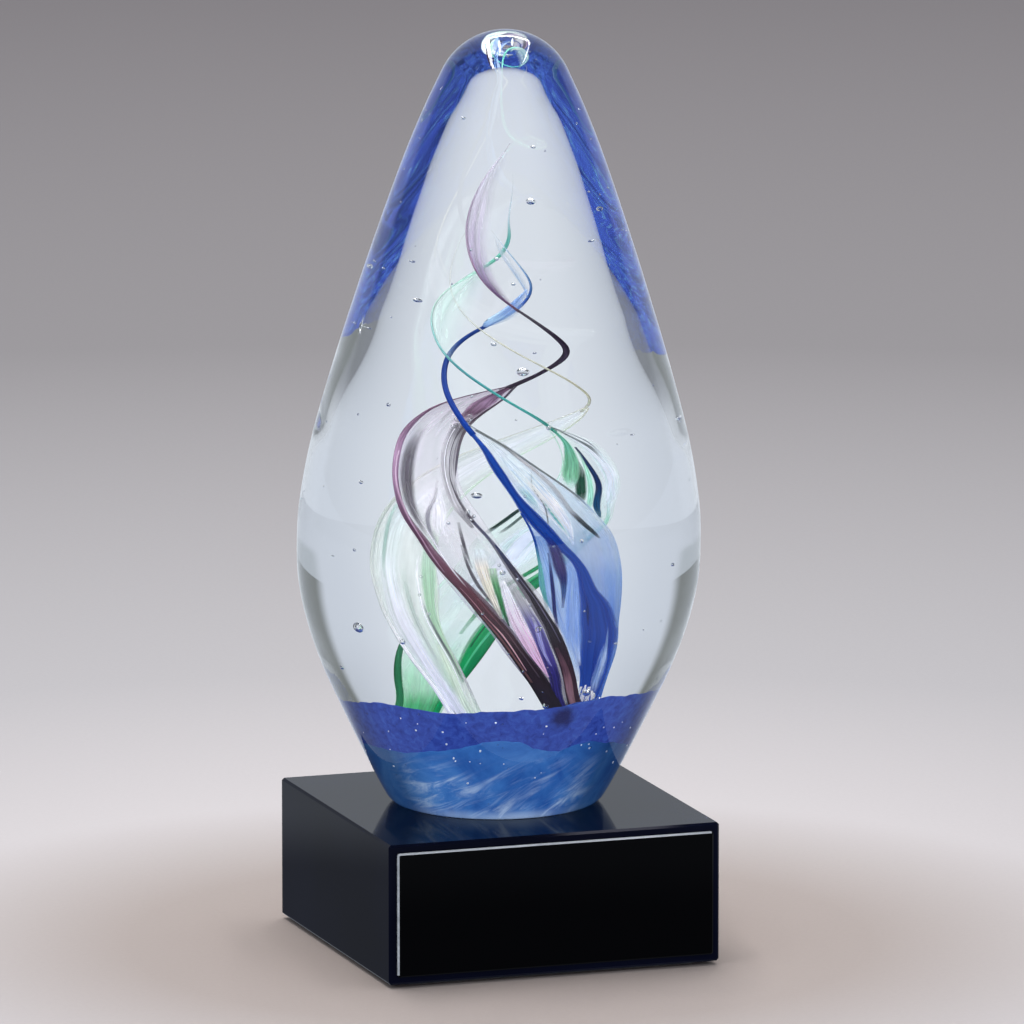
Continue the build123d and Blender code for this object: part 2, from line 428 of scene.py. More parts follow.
FOOT_SIDE = [(1.2, 20), (12, 26.2), (25.2, 32.7), (27.5, 33.7), (29.5, 34.6)]
# Rows of the angle in degrees, from the photographed side towards its right, and a height.
MEETING_LINE = [(-180, 15.8), (-150, 14.4), (-120, 16.2), (-90, 15), (-66, 15.6), (-44, 15.6), (-24, 17),
    (4, 20), (24, 16.9), (37, 18.3), (56, 17.2), (82, 14.6), (110, 16.2), (140, 14.6), (180, 15.8)]
TOP_LINE = [(-180, 25), (-120, 25), (-95, 24.9), (-80, 24.9), (-62, 26), (-45, 27.3), (-34, 26.9),
    (-22, 26.4), (-8, 26.9), (6, 27.3), (17, 27.6), (30, 28), (43, 28.9), (60, 28.2), (77, 27.3), (95, 26),
    (120, 25.3), (180, 25)]
FOOT_BOTTOM = 1.2
LAYER_GAP = 0.05                        # between the two layers
RAGGED = 0.40                           # size of the small waves of both lines
DENT = 0.25                             # how deep the foot's side waves
INNER_RING = 0.62                       # share of the radius where a flat end's middle begins


def line_height(rows, angle):
    """Height of a line of the foot at an angle, with small ragged waves."""
    ring = Vector((math.cos(angle), math.sin(angle), 0))
    waves = noise.noise(ring * 9.0) + 0.5 * noise.noise(ring * 23.0)
    turned_by = math.degrees(angle - (VIEW_AZIMUTH - math.pi / 2))
    return at_height(rows, 1, (turned_by + 180) % 360 - 180) + RAGGED * waves


def foot_layer(name, lower, upper, steps=26, count=320):
    """A layer of the foot between two heights, each a function of the angle."""
    rings = []
    for step in range(-1, steps + 2):
        share = min(max(step, 0), steps) / steps
        ring = []
        for k in range(count):
            angle = 2 * math.pi * k / count
            height = lower(angle) + (upper(angle) - lower(angle)) * share
            waves = noise.noise(Vector((5 * math.cos(angle), 5 * math.sin(angle), 0.3 * height)))
            radius = at_height(FOOT_SIDE, 1, height) - DENT * (0.5 + 0.5 * waves)
            ring.append(around(height, radius * (INNER_RING if step in (-1, steps + 1) else 1.0), angle))
        rings.append(ring)
    return closed_mesh(name, [rings])


WISP_SIZE = (0.017, 0.012, 0.0027)      # how long, deep and thick a wisp is, in metres
WISP_SLANT = (0.0, -0.62, 0.0)
WISP_TOP, BOTTOM_HIGHLIGHT_TOP = (17.0, 9.0), (3.4, 1.2)     # heights where wisps and the painted highlight along the bottom begin and are full
BOTTOM_HIGHLIGHT_AMOUNT = 0.75
FOOT_DIFFUSE, FOOT_GLOW = 0.30, 0.72    # shares of a colour that the glass reflects and gives off as a painted glow
PAINTED_SHADE_SPAN = 0.28                        # cosine over which painted shade darkens the foot towards the back and sides


def foot_glass(name, stops, cloud_scale, amount, wisp_and_highlight_colour):
    """Mottled opaque glass; wisps are pale clouds drawn out on the slant, in front only, and a painted
    highlight runs pale along the bottom in front.
    """
    material, tree, coordinates = new_material(name)
    place = coordinates["Object"]
    shade = colour_ramp(tree, noise_of(tree, place, cloud_scale, 8.0, 0.62, 0.6), stops)
    slant = node(tree, "Mapping", {"Vector": place, "Rotation": WISP_SLANT, "Scale": WISP_SIZE},
                 vector_type="TEXTURE").outputs[0]
    wisp = smooth_range(tree, noise_of(tree, slant, 1.0, 7.0, 0.66, 1.1), 0.42, 0.74)
    patch = noise_of(tree, place, 70.0, 2.0)
    to_front = turn_to(tree, place, FRONTWARD)
    level = node(tree, "SeparateXYZ", {0: place}).outputs["Z"]
    low, bottom_highlight = [smooth_range(tree, level, *[on_axis(height).z for height in heights])
                for heights in (WISP_TOP, BOTTOM_HIGHLIGHT_TOP)]
    wisp = times(tree, wisp, smooth_range(tree, patch, 0.30, 0.54),
                 smooth_range(tree, to_front, 0.45, 0.85), low)
    # Painted highlight: a pale line along the foot's bottom edge, in front only.
    bottom_highlight = times(tree, bottom_highlight, smooth_range(tree, to_front, 0.35, 0.95), smooth_range(tree, patch, 0.30, 0.60),
                BOTTOM_HIGHLIGHT_AMOUNT)
    pale = times(tree, math_node(tree, "MAXIMUM", wisp, bottom_highlight), amount)
    return material, tree, coordinates, mixed_colour(tree, pale, shade, wisp_and_highlight_colour)


def finish_foot(tree, place, shade, shaded_share, even_from):
    """Glass with a painted glow standing in for the light it carries: an even glow of its own colour, with
    painted shade towards the back and sides.
    """
    to_front = turn_to(tree, place, FRONTWARD)
    # Painted shade: the colour is darker towards the back and sides.
    shade = dimmed(tree, shade, even_range(tree, to_front, even_from - PAINTED_SHADE_SPAN, even_from, shaded_share, 1.0))
    show(tree, {"Base Color": mixed_colour(tree, FOOT_DIFFUSE, (0, 0, 0), shade), "Roughness": 0.5,
                "Specular IOR Level": 0.0, "Emission Color": shade, "Emission Strength": FOOT_GLOW})


def azure_glass():
    stops = [(0.34, (0.022, 0.098, 0.39)), (0.50, (0.042, 0.165, 0.52)), (0.66, (0.078, 0.24, 0.62))]
    material, tree, coordinates, shade = foot_glass("azure_glass", stops, 70.0, 0.95, (0.50, 0.66, 0.92))
    finish_foot(tree, coordinates["Object"], shade, shaded_share=0.42, even_from=0.86)
    return material


# The purple ribbon's dark glass has run into the cobalt at its root, as a soft stain.
STAIN_HEIGHT, STAIN_ANGLE, STAIN_SIZE, STAIN_EDGE, STAIN_WAVES = 25.2, 25.0, 4.0, 1.6, 3.0
# What tints the cobalt's top: scale, detail and roughness of a noise, the values where it begins
# and is full, its amount and its colour.
TOP_MOTTLES = [(1500.0, 3.0, 0.6, 0.50, 0.66, 0.75, (0.10, 0.25, 0.50)),
               (260.0, 5.0, 0.65, 0.48, 0.62, 0.8, (0.014, 0.030, 0.15))]


def cobalt_glass():
    """Darker blue; its top, which the egg's side mirrors as the blue rim, is freckled and clouded."""
    stops = [(0.34, (0.025, 0.048, 0.28)), (0.50, (0.036, 0.074, 0.40)), (0.66, (0.048, 0.108, 0.47))]
    material, tree, coordinates, shade = foot_glass("cobalt_glass", stops, 560.0, 0.25, (0.10, 0.24, 0.55))
    place = coordinates["Object"]
    upward = node(tree, "SeparateXYZ", {0: coordinates["Normal"]}).outputs["Z"]
    on_top = smooth_range(tree, upward, 0.4, 0.8)
    for scale, detail, roughness, low, high, amount, colour in TOP_MOTTLES:
        mottle = smooth_range(tree, noise_of(tree, place, scale, detail, roughness), low, high)
        shade = mixed_colour(tree, times(tree, mottle, on_top, amount), shade, colour)
    turn = math.radians(STAIN_ANGLE) + VIEW_AZIMUTH - math.pi / 2
    root = around(STAIN_HEIGHT, at_height(FOOT_SIDE, 1, STAIN_HEIGHT), turn)
    away = vector_node(tree, "DISTANCE", place, tuple(root), "Value")
    away = math_node(tree, "ADD", away, times(tree, noise_of(tree, place, 420.0, 4.0), STAIN_WAVES * MM))
    stain = smooth_range(tree, away, (STAIN_SIZE + STAIN_EDGE) * MM, STAIN_SIZE * MM * 0.6)
    shade = mixed_colour(tree, times(tree, stain, 0.85), shade, (0.012, 0.010, 0.06))
    finish_foot(tree, place, shade, shaded_share=0.50, even_from=0.66)
    return material


azure, cobalt = azure_glass(), cobalt_glass()
azure_mesh = foot_layer("azure_foot_glass", lambda angle: FOOT_BOTTOM,
                        lambda angle: line_height(MEETING_LINE, angle))
add_object("azure_foot_glass", azure_mesh, azure, ["azure_foot"])
cobalt_mesh = foot_layer("cobalt_pad_glass", lambda angle: line_height(MEETING_LINE, angle) + LAYER_GAP,
                         lambda angle: line_height(TOP_LINE, angle))
add_object("cobalt_pad_glass", cobalt_mesh, cobalt, ["cobalt_pad"])

# ---------------------------------------------------------------- glass ribbons

# Each ribbon follows the CAD's rows of height, distance from the axis and turn in degrees.
PATHS = {
    "purple": [(25.6, 12, -38), (40, 11.5, -80), (52, 11.5, -118), (64, 11.5, -160), (74, 11, -210),
        (84, 11.2, -267), (92, 10, -325), (100, 9.8, -383), (108, 8.5, -436), (116, 6.4, -490),
        (126, 4.4, -545), (136, 3.2, -605), (144, 2.2, -660)],
    "blue": [(25.6, 15.5, 34), (40, 14.8, 8), (52, 14.6, -24), (64, 13.6, -56), (74, 11.3, -92),
        (84, 9.2, -145), (92, 8.3, -196), (100, 7.6, -256), (108, 5.6, -329), (116, 4.2, -397),
        (126, 3.3, -476)],
    "green": [(25.6, 17, -243), (40, 16.5, -262), (52, 15, -302), (64, 14.2, -350), (74, 13.4, -387),
        (84, 12.1, -426), (92, 11.2, -473), (100, 10.5, -526), (108, 9.2, -574), (116, 6.4, -630),
        (126, 3, -690), (138, 2.2, -760)],
    "ivory": [(25.6, 11.5, -128), (40, 12, -162), (52, 13, -200), (64, 14.4, -248), (74, 15.4, -292),
        (84, 14.4, -343), (92, 12.2, -394), (100, 11.1, -449), (108, 9.7, -504), (116, 7.6, -557),
        (126, 6.4, -610)],
}

# Rows of height and of how far the ribbon reaches from its path to the left and to the right.
BODIES = {
    "purple": [(24, 2.9, -2.4), (30, 3.4, -2.6), (35, 4, -4), (40, 4.6, -5.8), (45, 4.9, -7), (50, 6, -7.6),
        (55, 6.1, -7.3), (60, 6.3, -6.7), (65, 6.3, -6.5), (70, 5.1, -5.4), (75, 4.4, -5), (80, 4.2, -4.2),
        (85, 3.6, -3.2), (88.5, 0.8, -0.8)],
    "blue": [(24, 1.4, -1.2), (30, 1.5, -1.4), (35, 1.9, -1.8), (40, 3.8, -2.5), (45, 6.5, -2.6),
        (50, 8.7, -3.6), (55, 8.1, -4.9), (60, 7.2, -6), (65, 6.3, -6.3), (70, 5, -6.3), (75, 3.4, -5),
        (80, 0.9, -3.7), (84, 0.3, -0.9), (86, 0.2, -0.3)],
    "green": [(24, 0.9, -4.4), (30, 1.3, -4.8), (35, 2.8, -5.9), (40, 4.4, -6.3), (45, 5.6, -5.3),
        (50, 8, -4.5), (55, 10.2, -3.8), (60, 11, -4), (65, 8.8, -3.4), (70, 5.6, -4.4), (75, 3.2, -5),
        (80, 0.8, -4.5), (83.5, 0.4, -1), (85, 0.2, -0.2)],
    "ivory": [(24, 4, -1.5), (30, 4, -1.5), (35, 4.5, -2.3), (40, 5.6, -2.2), (45, 6.1, -2.4), (50, 6.1, -4),
        (55, 5.4, -4.2), (60, 4.8, -4.2), (65, 4.5, -4), (70, 4, -4), (75, 3.4, -3.4), (80, 2, -2),
        (84, 0.5, -0.5)],
}
BODY_DEPTH = 0.30            # a ribbon's thickness against its width
BAND_DEPTH = 0.95            # the same for a bar along a ribbon's edge
STREAK_AND_HIGHLIGHT_DEPTH = 0.35          # and for the bright streaks and painted highlights on a bar
BAND_STAND = 0.5             # how far in front of its path a bar lies
SKIN_GAP = 0.12              # a leaf lies this far outside the ribbon's body
LEAF_THICKNESS, PETAL_THICKNESS = 0.10, 0.06
LEAF_STEP, THREAD_STEP = 1.0, 0.8       # between one ring of points and the next
LEAST_STEPS = 6
ACROSS = 10                  # faces across a sheet
PETAL_BOW = 1.2              # how far a petal bulges towards the front
RIBBON_GLOW = 0.34           # painted glow standing in for light passed on through the coloured glass, against its colour


def path_point(colour, height):
    turn = math.radians(at_height(PATHS[colour], 2, height))
    return upright(height, at_height(PATHS[colour], 1, height), turn)


def middle_and_half(rows, height):
    """Middle and half the width of a ribbon or a bar."""
    left, right = at_height(rows, 1, height), at_height(rows, 2, height)
    return (left + right) / 2, max((left - right) / 2, 0.05)


def on_ribbon(colour, height, across, side):
    """A point of a ribbon: across is mm left of its path, side is 1 at the front of its body."""
    middle, half = middle_and_half(BODIES[colour], height)
    swell = math.sqrt(max(1 - ((across - middle) / half) ** 2, 0.0))
    depth = side * (BODY_DEPTH * half * swell + SKIN_GAP)
    return path_point(colour, height) + LEFTWARD * (across * MM) + FRONTWARD * (depth * MM)


def painted(name, strips):
    """Join closed strips of (rings, colours) into one mesh with a colour for every point."""
    mesh = closed_mesh(name, [rings for rings, tints in strips], fan=False)
    colours = []
    for rings, tints in strips:
        colours.extend(tint for ring in tints for tint in ring)
        colours.extend((tints[0][0], tints[-1][0]))
    layer = mesh.color_attributes.new(name="tint", type="FLOAT_COLOR", domain="POINT")
    for i, colour in enumerate(colours):
        layer.data[i].color = colour
    form = bmesh.new()
    form.from_mesh(mesh)
    bmesh.ops.recalc_face_normals(form, faces=form.faces)
    form.to_mesh(mesh)
    form.free()
    return mesh


def shown(red, green, blue):
    """Linear colour from the 0-255 values that a colour shows on screen."""
    return tuple(((value / 255 + 0.055) / 1.055) ** 2.4 if value > 10 else value / 255 / 12.92
                 for value in (red, green, blue))


def tint_of(row):
    """Linear colour and alpha from a row's last entries. An alpha of 1 is left out of the rows."""
    shade, alpha = row[-2:] if isinstance(row[-2], tuple) else (row[-1], 1.0)
    return (*shown(*shade), alpha)


def blended(rows, height):
    """Colour and alpha at a height, from rows that end in those."""
    i = 0
    while i < len(rows) - 2 and rows[i + 1][0] < height:
        i += 1
    t = ramp(rows[i][0], rows[i + 1][0], height)
    return tuple(a + (b - a) * t for a, b in zip(tint_of(rows[i]), tint_of(rows[i + 1])))


def heights_of(rows, step, least=1):
    """Even heights from the first row's to the last row's, at most about a step apart."""
    bottom, top = rows[0][0], rows[-1][0]
    steps = max(int((top - bottom) / step), least)
    return [bottom + (top - bottom) * j / steps for j in range(steps + 1)]


def sheet(rows, heights, gap, place, fade):
    """A thin closed strip, from rows of height, left, right, colour and alpha.

    place gives a point from its height, mm left of the path, share of the way across, and 1 on
    the sheet's front or -1 on its back. fade gives a share of the alpha from a share of the way.
    """
    rings, tints = [], []
    for height in heights:
        left, right = at_height(rows, 1, height), at_height(rows, 2, height)
        right = min(right, left - gap)
        *shade, alpha = blended(rows, height)
        shares = [k / ACROSS if k <= ACROSS else 2 - k / ACROSS for k in range(2 * ACROSS)]
        rings.append([place(height, left + (right - left) * share, share, 1 if k < ACROSS else -1)
                      for k, share in enumerate(shares)])
        tints.append([(*shade, alpha * fade(share)) for share in shares])
    return rings, tints


def leaf(colour, side, feather, rows):
    """A sheet that hugs a ribbon's body, with edges that fade out."""
    def place(height, across, share, face):
        swell = LEAF_THICKNESS * math.sqrt(max(1 - (2 * share - 1) ** 2, 0.0)) * face
        return on_ribbon(colour, height, across, side) + FRONTWARD * (swell * MM)

    def fade(share):
        return ramp(0.0, feather, min(share, 1 - share) * 2)

    return sheet(rows, heights_of(rows, LEAF_STEP, LEAST_STEPS), 0.04, place, fade)


def petal(colour, rows):
    """A bowed sheet between a thread and a free edge, where it fades out."""
    def place(height, across, share, face):
        arch = 1 - (2 * share - 1) ** 2
        depth = PETAL_BOW * arch + PETAL_THICKNESS * face * math.sqrt(max(arch, 0.0))
        return path_point(colour, height) + LEFTWARD * (across * MM) + FRONTWARD * (depth * MM)

    return sheet(rows, heights_of(rows, THREAD_STEP), 0.05, place, lambda share: ramp(1.0, 0.15, share))


def band(colour, rows, tint_rows, depth, forward=0.0, count=20):
    """A closed oval rod along a ribbon, from rows of height, left and right, and rows of its tints."""
    rings, tints = [], []
    for height in heights_of(rows, LEAF_STEP):
        middle, half = middle_and_half(rows, height)
        centre = path_point(colour, height) + LEFTWARD * (middle * MM) + FRONTWARD * (forward * MM)
        angles = [2 * math.pi * k / count for k in range(count)]
        rings.append([centre + LEFTWARD * (half * MM * math.cos(angle))
                      + FRONTWARD * (half * depth * MM * math.sin(angle)) for angle in angles])
        tints.append([blended(tint_rows, height)] * count)
    return rings, tints


def thread(colour, rows, count=14):
    """A round rod square to a ribbon's path, from rows of height, radius, shift left, colour and alpha."""
    heights = heights_of(rows, THREAD_STEP)
    centres = [path_point(colour, height) + LEFTWARD * (at_height(rows, 2, height) * MM)
               for height in heights]
    rings, tints = [], []
    for j, (height, centre) in enumerate(zip(heights, centres)):
        along = (centres[min(j + 1, len(centres) - 1)] - centres[max(j - 1, 0)]).normalized()
        first = along.cross(Vector((0, 0, 1))).normalized()
        second = along.cross(first)
        radius = max(at_height(rows, 1, height), 0.03) * MM
        angles = [2 * math.pi * k / count for k in range(count)]
        rings.append([centre + first * (radius * math.cos(angle)) + second * (radius * math.sin(angle))
                      for angle in angles])
        tints.append([blended(rows, height)] * count)
    return rings, tints


def ribbon_material(name, streak_low, streak_high, alphas, limb, rings=2.2, stretch=2.6):
    """Coloured glass with drawn-out streaks; its limbs, seen through more glass, are deeper.

    alphas are the least and most share of the painted alpha in the streaks, and limb is how dark
    a colour gets at a glancing angle. rings and stretch are how many streaks lie round and along.
    """
    material, tree, coordinates = new_material(name)
    tint = node(tree, "Attribute", attribute_name="tint", attribute_type="GEOMETRY").outputs
    uv = node(tree, "SeparateXYZ", {0: coordinates["UV"]}).outputs
    turn = times(tree, uv["X"], 2 * math.pi)
    round_x, round_y = [times(tree, node(tree, "Math", {0: turn}, operation=operation).outputs[0], rings)
                        for operation in ("COSINE", "SINE")]
    place = node(tree, "CombineXYZ", {0: round_x, 1: round_y, 2: times(tree, uv["Y"], stretch)}).outputs[0]
    streak = noise_of(tree, place, 1.0, 3.0, 0.5, 0.3)
    lines = colour_ramp(tree, streak, [(0.32, streak_low), (0.48, (1, 1, 1)), (0.68, streak_high)])
    shade = mixed_colour(tree, 1.0, tint["Color"], lines, "MULTIPLY")
    glancing = node(tree, "LayerWeight", {"Blend": 0.5}).outputs["Facing"]
    shade = dimmed(tree, shade, even_range(tree, glancing, 0.3, 1.0, 1.0, limb))
    veil = even_range(tree, streak, 0.34, 0.66, *alphas)
    thick = even_range(tree, glancing, 0.3, 1.0, 1.0, 1.25)
    alpha = math_node(tree, "MULTIPLY", tint["Alpha"], times(tree, veil, thick), clamp=True)
    # The glass gives off its own colour as a painted glow.
    show(tree, {"Base Color": shade, "Alpha": alpha, "Roughness": 0.3, "Specular IOR Level": 0.0,
                "Emission Color": shade, "Emission Strength": RIBBON_GLOW})
    return material


# Colours as they show on screen, from 0 to 255.
MAUVE_PALE, MAUVE = (168, 138, 166), (118, 88, 112)
# On some sheets SMOKE and SLATE are painted shade, and MILK and SILVER painted highlights.
SOOT, SMOKE, SILVER, MILK = (34, 26, 38), (92, 88, 98), (184, 184, 190), (240, 241, 248)
VIOLET, INDIGO, PINK = (104, 98, 168), (44, 38, 112), (236, 198, 224)
ROYAL, NAVY, SKY, ICE = (30, 74, 170), (30, 36, 112), (158, 190, 236), (222, 234, 244)
TEAL, EMERALD, FOREST, MINT = (104, 188, 184), (8, 152, 88), (44, 84, 66), (186, 232, 210)
CREAM, SAGE, SLATE = (232, 230, 214), (212, 230, 214), (118, 124, 128)

